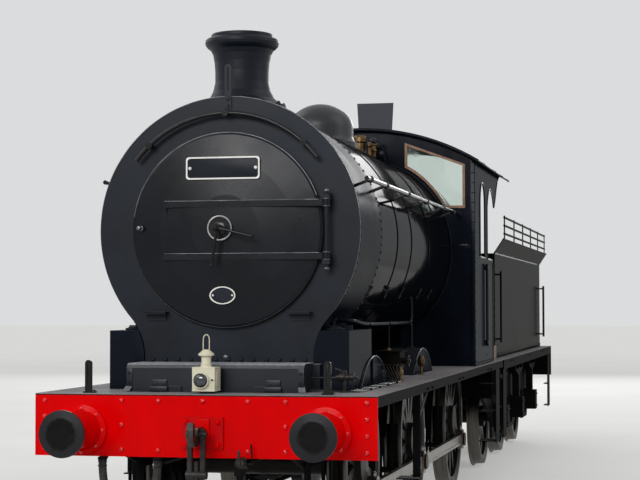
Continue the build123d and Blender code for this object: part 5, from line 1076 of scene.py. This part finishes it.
# Steam pipe from the smokebox along the boiler to the driving splasher, on two posts
FEED = [at(0.60, 1.25, 1.805), at(0.74, 1.25, 1.805), at(PIPE_OUT, 1.27, 1.805), at(PIPE_OUT, 1.4, 1.803),
    at(PIPE_OUT, 1.6, 1.785), at(PIPE_OUT, 1.9, 1.77), at(PIPE_OUT, 3.88, 1.765), at(PIPE_OUT, 3.98, 1.765)]
tube("steam_pipe", [FEED + [at(PIPE_OUT, 4.07, 1.77), at(PIPE_OUT, 4.1, 1.83), at(PIPE_OUT, 4.1, 1.96),
    at(0.79, 4.1, 2.0), at(0.75, 4.1, 2.01)], [at(PIPE_OUT, 3.94, 1.765), at(PIPE_OUT, 4.05, 1.76),
    at(PIPE_OUT, 4.09, 1.725), at(PIPE_OUT, 4.09, 1.53)]], 0.0165, *PIPE_PAINT)
bm = bmesh.new()
for station in (1.98, 2.9):
    foot = max(point.z for node in ("splashers", "running_plate") for point, _ in on_face(node,
        [(PIPE_OUT, station + BEAM, 1.76)], -UP))
    turned(bm, (PIPE_OUT, station + BEAM, foot), UP, [(0.024, -0.001), (0.024, 0.006), (0.009, 0.01),
        (0.009, at(0, 0, 1.765).z - foot)], 16)
    turned(bm, at(PIPE_OUT, station - 0.012, 1.769), ALONG, mm(16, 0, 21.5, 0, 21.5, 24, 16, 24), 24)
turned(bm, at(PIPE_OUT, 4.09, 1.536), UP, mm(36, -4, 36, 8, 22, 13, 17, 20), 24)
turned(bm, at(PIPE_OUT, 3.93, 1.765), ALONG, mm(16.5, 0, 25, 2, 25, 30, 16.5, 32), 6)
turned(bm, at(0.67, 1.25, 1.805), ACROSS, mm(45, -20, 45, 10, 30, 15, 17, 20), 24)
done("steam_pipe_fittings", bm, *PIPE_PAINT)

# Sand pipes, from the footplate to the rails in front of the leading wheels
tube("sand_pipes", [[at(side * SAND_PIPE_OUT, *spot) for spot in ((0.72, 1.29), (0.71, 1.1), (0.7, 0.9),
    (0.7, 0.55), (0.72, 0.4), (0.86, 0.28), (1.0, 0.2), (1.16, 0.1))] for side in SIDES], 0.014, *CHASSIS_PAINT)
bm = bmesh.new()
for side in SIDES:
    turned(bm, at(side * SAND_PIPE_OUT, 0.72, 1.296), -UP, mm(34, -2, 34, 8, 22, 12, 15, 30), 24)
done("sand_pipe_flanges", bm, *CHASSIS_PAINT)

# Coupling rods: brass bushes and oil cups
for side, body, pin_z in ((1, "right_rod", 0.515), (-1, "left_rod", 0.946)):
    bm = bmesh.new()
    cups = bmesh.new()
    for station in COUPLED:
        pin = Vector((side * 0.893, station + 0.2157 + BEAM, pin_z))
        turned(bm, pin, ACROSS * side, mm(69.8, -1, 69.8, 3.2, 80, 3.2, 82, 1.4, 82, -1), 48)
        turned(cups, pin + Vector((-side * 0.031, 0, 0.1)), UP, mm(20, -2, 20, 26, 13, 32, 13, 40, 0, 42), 16)
    done(body + "_bushes", bm, body, "brass", brass)
    done(body + "_oil_cups", cups, body, "worn_steel", rod_steel)

# Tender: mouldings and rivets of the tank, foot angle, axlebox covers, vents and lamp irons
strip("tank_bead", [[(-1.0805, 1.042, 2.554), (-1.0805, 7.1205, 2.554), (1.0805, 7.1205, 2.554),
    (1.0805, 1.042, 2.554)]], 0.009, "tender", "boiler_paint", rail_enamel)
strip("coping_beads", [[(side * 1.182, 1.042, 2.719), (side * 1.182, 7.118, 2.719)] for side in SIDES]
    + [[(-1.078, 7.204, 2.719), (1.078, 7.204, 2.719)]], 0.0095, *TANK_PAINT)
bm = bmesh.new()
for side in SIDES:
    brick(bm, (side * 1.079, 1.042, 1.336), (side * TANK_OUT, 7.126, 1.392), 0.002)
brick(bm, (-TANK_OUT, 7.119, 1.336), (TANK_OUT, TANK_REAR, 1.392), 0.002)
done("tank_foot_angle", bm, *TANK_PAINT)
places = []
for side in SIDES:
    way = ACROSS * side
    places += [(point, way) for point in spaced((side * TANK_OUT, 1.1, 1.364), (side * TANK_OUT, 7.06, 1.364),
        0.12)]
    for y in (1.075, 7.085):
        places += [(point, way) for point in spaced((side * 1.08, y, 1.44), (side * 1.08, y, 2.5), 0.1)]
places += [(point, ALONG) for point in spaced((-1.04, TANK_REAR, 1.364), (1.04, TANK_REAR, 1.364), 0.12)]
for x in (-1.045, -0.36, 0.36, 1.045):
    places += [(point, ALONG) for point in spaced((x, 7.12, 1.44), (x, 7.12, 2.5), 0.1)]
rivets("tank_rivets", places, 0.007, *TANK_PAINT)
places = []
for side in SIDES:
    for axle in TENDER_AXLES:
        places += [(point, ACROSS * side) for point, _ in on_face("tender_axleboxes",
            [(side * 2, axle + BEAM + dy, 0.6035 + dz) for dy in (-0.068, 0.068) for dz in (-0.085, 0.085)],
            (-side, 0, 0))]
bolts("axlebox_bolts", places, 0.0115, "tender", "frame_paint", dark_steel)
places = []
for side in SIDES:
    places += on_face("tender_frames", [(side * 2, 0.9 + 0.16 * n, 1.23) for n in range(41)], (-side, 0, 0))
rivets("tender_frame_rivets", [(point, way) for point, way in places if abs(point.x) > 0.94], 0.0105,
    *TENDER_CHASSIS)
bolts("tender_valance_bolts", [(Vector((side * VALANCE_OUT, station + BEAM, 1.3)), ACROSS * side)
    for side in SIDES for station in (8.9, 9.15, 11.2, 11.45, 13.3, 13.55)], 0.0085, *TENDER_CHASSIS)


def slotted(bm, centre, across, outer, inner, depth):
    """Flat bar that stands up, with a slot through it."""
    loops = []
    for outline, step in ((outer, 0.0), (inner, 0.0), (inner, depth), (outer, depth)):
        loops.append([bm.verts.new(Vector(centre) + Vector(across) * x + UP * z + Vector(across).cross(UP)
            * step) for x, z in outline])
    walls(bm, loops + loops[:1])


bm = bmesh.new()
for x in (-LAMP_IRON_OUT, 0.0, LAMP_IRON_OUT):
    slotted(bm, (x, 7.432, 1.45), ACROSS, rounded(0.026, 0.119, 0.0255), rounded(0.007, 0.073, 0.0065), -0.011)
    brick(bm, (x - 0.026, 7.36, 1.336), (x + 0.026, 7.432, 1.3475), 0.002)
slotted(bm, (0.0, 7.2, 2.84), ACROSS, rounded(0.026, 0.125, 0.0255), rounded(0.007, 0.073, 0.0065), -0.011)
done("tender_lamp_irons", bm, "tender", "bright_steel", rail_enamel)
bm = bmesh.new()
for x in (-0.62, 0.62):
    turned(bm, (x, 6.62, 2.553), UP, mm(60, 0, 60, 8, 42, 12, 42, 100, 66, 104, 70, 115, 50, 135, 0, 142), 28)
for x in (-0.85, 0.85):
    for y in (5.75, 6.85):
        ring(bm, (x, y, 2.578), ACROSS, 0.032, 0.0085, 24)
done("tank_vents_and_eyes", bm, *TANK_PAINT)
bolts("filler_bolts", [(Vector((0.235 * math.cos(turn), 6.26 + 0.235 * math.sin(turn), 2.7405)), UP)
    for turn in (math.pi / 6 + n * math.pi / 3 for n in range(6))], 0.01, "water_lid", "boiler_paint",
    tender_enamel)
bm = bmesh.new()
for x in (-0.45, 0.45):
    for z in (1.72, 2.1):
        brick(bm, (x - 0.14, 7.119, z), (x + 0.14, 7.2, z + 0.008), 0.003)
        brick(bm, (x - 0.14, 7.192, z), (x + 0.14, 7.2, z + 0.03), 0.002)
done("tender_rear_steps", bm, "tender", "boiler_paint", step_enamel)


def dial_stroke(bm, spot, degrees, ends, thick):
    """Mark or hand of a dial; its ends are distances from the middle, each with half a width."""
    turn = math.radians(degrees)
    out, over = from_top(turn), from_top(turn + math.pi / 2)
    (inner, inner_half), (outer, outer_half) = ends
    slab(bm, [spot + out * r + over * w for r, w in ((inner, -inner_half), (inner, inner_half),
        (outer, outer_half), (outer, -outer_half))], (0, -thick, 0))


# Backhead: dials with their scales, and the pipes between the fittings
bezels, faces, marks = bmesh.new(), bmesh.new(), bmesh.new()
for x, height in ((-0.17, 3.16), (0.17, 3.16), (0.0, 3.02)):
    spot = skin("backhead_fittings", (x, 1.0, height + RAIL), FRONTWARD)[0]
    turned(bezels, spot, ALONG, mm(75, -4, 76.5, 4, 72, 9, 66, 9, 65, 3), 40)
    turned(faces, spot, ALONG, mm(65.5, -1, 65, 2.5, 0, 3), 40)
    for n in range(11):
        dial_stroke(marks, spot + ALONG * 0.004, -135 + 27 * n, ((0.046, 0.0016), (0.059, 0.0016)), 0.002)
    dial_stroke(marks, spot + ALONG * 0.006, -60 + 70 * x / 0.17, ((-0.014, 0.003), (0.05, 0.001)), 0.0015)
done("dial_bezels", bezels, *BRASSWORK)
done("dial_faces", faces, "engine", "cream_paint", rim_white)
done("dial_marks", marks, "engine", "frame_paint", smokebox_black)
bm = bmesh.new()
for x in (-0.215, 0.01):
    for z in (1.74, 1.94):
        brick(bm, (x, -0.352, z), (x + 0.205, -0.342, z + 0.03), 0.002)
brick(bm, (-0.004, -0.352, 1.675), (0.004, -0.346, 2.043), 0.001)
turned(bm, (0.06, -0.344, 1.86), ALONG, mm(10, 0, 10, 30, 18, 34, 18, 50, 0, 54), 16)
done("fire_door_straps", bm, *FORGINGS)
BACK = 7.05  # station of the firebox back
BACKHEAD_PIPES = (((-0.17, 0.035, 3.1), (-0.17, 0.035, 2.98), (-0.3, 0.03, 2.9), (-0.42, 0.03, 2.7),
    (-0.45, 0.03, 2.2), (-0.42, 0.02, 1.9)), ((0.17, 0.035, 3.1), (0.17, 0.035, 2.98), (0.3, 0.03, 2.9),
    (0.44, 0.03, 2.75), (0.5, 0.03, 2.3), (0.5, 0.02, 1.95)), ((0, 0.03, 2.96), (0, 0.03, 2.88),
    (0.1, 0.03, 2.86), (0.24, 0.03, 2.9), (0.33, 0.03, 2.78), (0.33, 0.03, 2.7)))
tube("backhead_pipes", [[at(x, BACK + out, z) for x, out, z in run] for run in BACKHEAD_PIPES], 0.008, "engine",
    "brass", copper)

# Inside the smokebox: tube plate with its tube mouths, blast pipe and petticoat below the chimney
soot_black = heat_paint("smokebox_soot", "#0a0a0a", "#191817", 0.7, shine=0.1)
plate_at = skin("boiler", (0.5, -6.0, 2.5), ALONG)[0].y
bm = bmesh.new()
slab(bm, [(0.9 * math.cos(math.radians(6 * n)), plate_at - 0.008, BOILER.z + 0.9
    * math.sin(math.radians(6 * n))) for n in range(60)], (0, 0.009, 0))
for row in range(13):
    for column in range(-11, 12):
        x = 0.07 * (column + 0.5 * (row % 2))
        z = BOILER.z - 0.34 + 0.066 * row
        if math.hypot(x, z - BOILER.z) < 0.76:
            turned(bm, (x, plate_at - 0.008, z), FRONTWARD, mm(29, -1, 29, 7, 24, 8, 23, 1), 12)
turned(bm, CHIMNEY + UP * 1.58, UP, mm(200, 0, 200, 20, 150, 30, 130, 300, 100, 750, 90, 860, 100, 865, 100,
    900, 75, 920, 65, 880), 36)
turned(bm, CHIMNEY + UP * 2.86, UP, mm(310, 0, 315, 4, 240, 90, 200, 220, 198, 520, 193, 520, 193, 220, 235, 90,
    305, 0), 36)
done("smokebox_inside", bm, "engine", "smokebox_paint", soot_black)


def seen_rays(tree):
    """One for rays from the camera and for what gloss and glass show, nothing for light on surfaces."""
    rays = add(tree, "ShaderNodeLightPath").outputs
    seen = add(tree, "ShaderNodeMath", {0: rays["Is Camera Ray"], 1: rays["Is Glossy Ray"]},
        operation="MAXIMUM")
    return add(tree, "ShaderNodeMath", {0: seen, 1: rays["Is Transmission Ray"]}, operation="MAXIMUM")


def studio_floor_paint():
    """Pale matt floor paint that stays pale to the camera and in reflections, and keeps the shadow."""
    material, tree, shader, place = start("studio_floor_paint")
    cloud = add(tree, "ShaderNodeTexNoise", {"Vector": place, "Scale": per(2500), "Detail": 4})
    tone = add(tree, "ShaderNodeValToRGB", {"Fac": cloud}, stops=[(0.3, "#aaaaa8"), (0.7, "#b2b2b0")])
    away = add(tree, "ShaderNodeVectorMath", {0: place}, operation="LENGTH")
    fade = add(tree, "ShaderNodeMapRange", {0: away.outputs["Value"], 1: 10, 2: 60, 3: 0.4, 4: 0.54},
        interpolation_type="SMOOTHSTEP")
    lift = add(tree, "ShaderNodeMath", {0: seen_rays(tree), 1: fade}, operation="MULTIPLY")
    feed(shader, {"Base Color": tone, "Roughness": 0.8, "Emission Color": linear("#e8e8e6"),
        "Emission Strength": lift})
    return material


bm = bmesh.new()
bmesh.ops.create_grid(bm, x_segments=2, y_segments=2, size=150)
mesh = bpy.data.meshes.new("studio_floor")
bm.to_mesh(mesh)
bm.free()
mesh.materials.append(studio_floor_paint())
floor = shown("studio_floor", mesh)

world = bpy.data.worlds.new("studio")
bpy.context.scene.world = world
world.use_nodes = True
sky = world.node_tree
level = add(sky, "ShaderNodeMapRange", {0: seen_rays(sky), 3: 0.5, 4: 0.8})
feed(sky.nodes["Background"], {"Color": linear("#f2f3f4"), "Strength": level})


def lamp(name, place, aim, size, watts):
    """Soft area lamp pointed at a place on the engine."""
    data = bpy.data.lights.new(name, "AREA")
    data.shape = "RECTANGLE"
    data.size, data.size_y = size
    data.energy = watts
    made = shown(name, data)
    made.location = place
    made.rotation_euler = (Vector(aim) - Vector(place)).to_track_quat("-Z", "Y").to_euler()
    made.visible_camera = False


lamp("key", (-10, -17, 12), (0, -4, 1.8), (8, 8), 400)
lamp("front_sky", (-2, -24, 9), (0, -6, 2.4), (9, 5), 1500)
lamp("side", (14, -4, 12), (0, -1, 1.6), (9, 18), 560)
lamp("rear_sky", (-2, 28, 10), (0, 0, 2.6), (24, 5), 2300)
lamp("far_side", (-14, 3, 12), (0, 1, 1.6), (8, 16), 560)

bpy.context.view_layer.update()
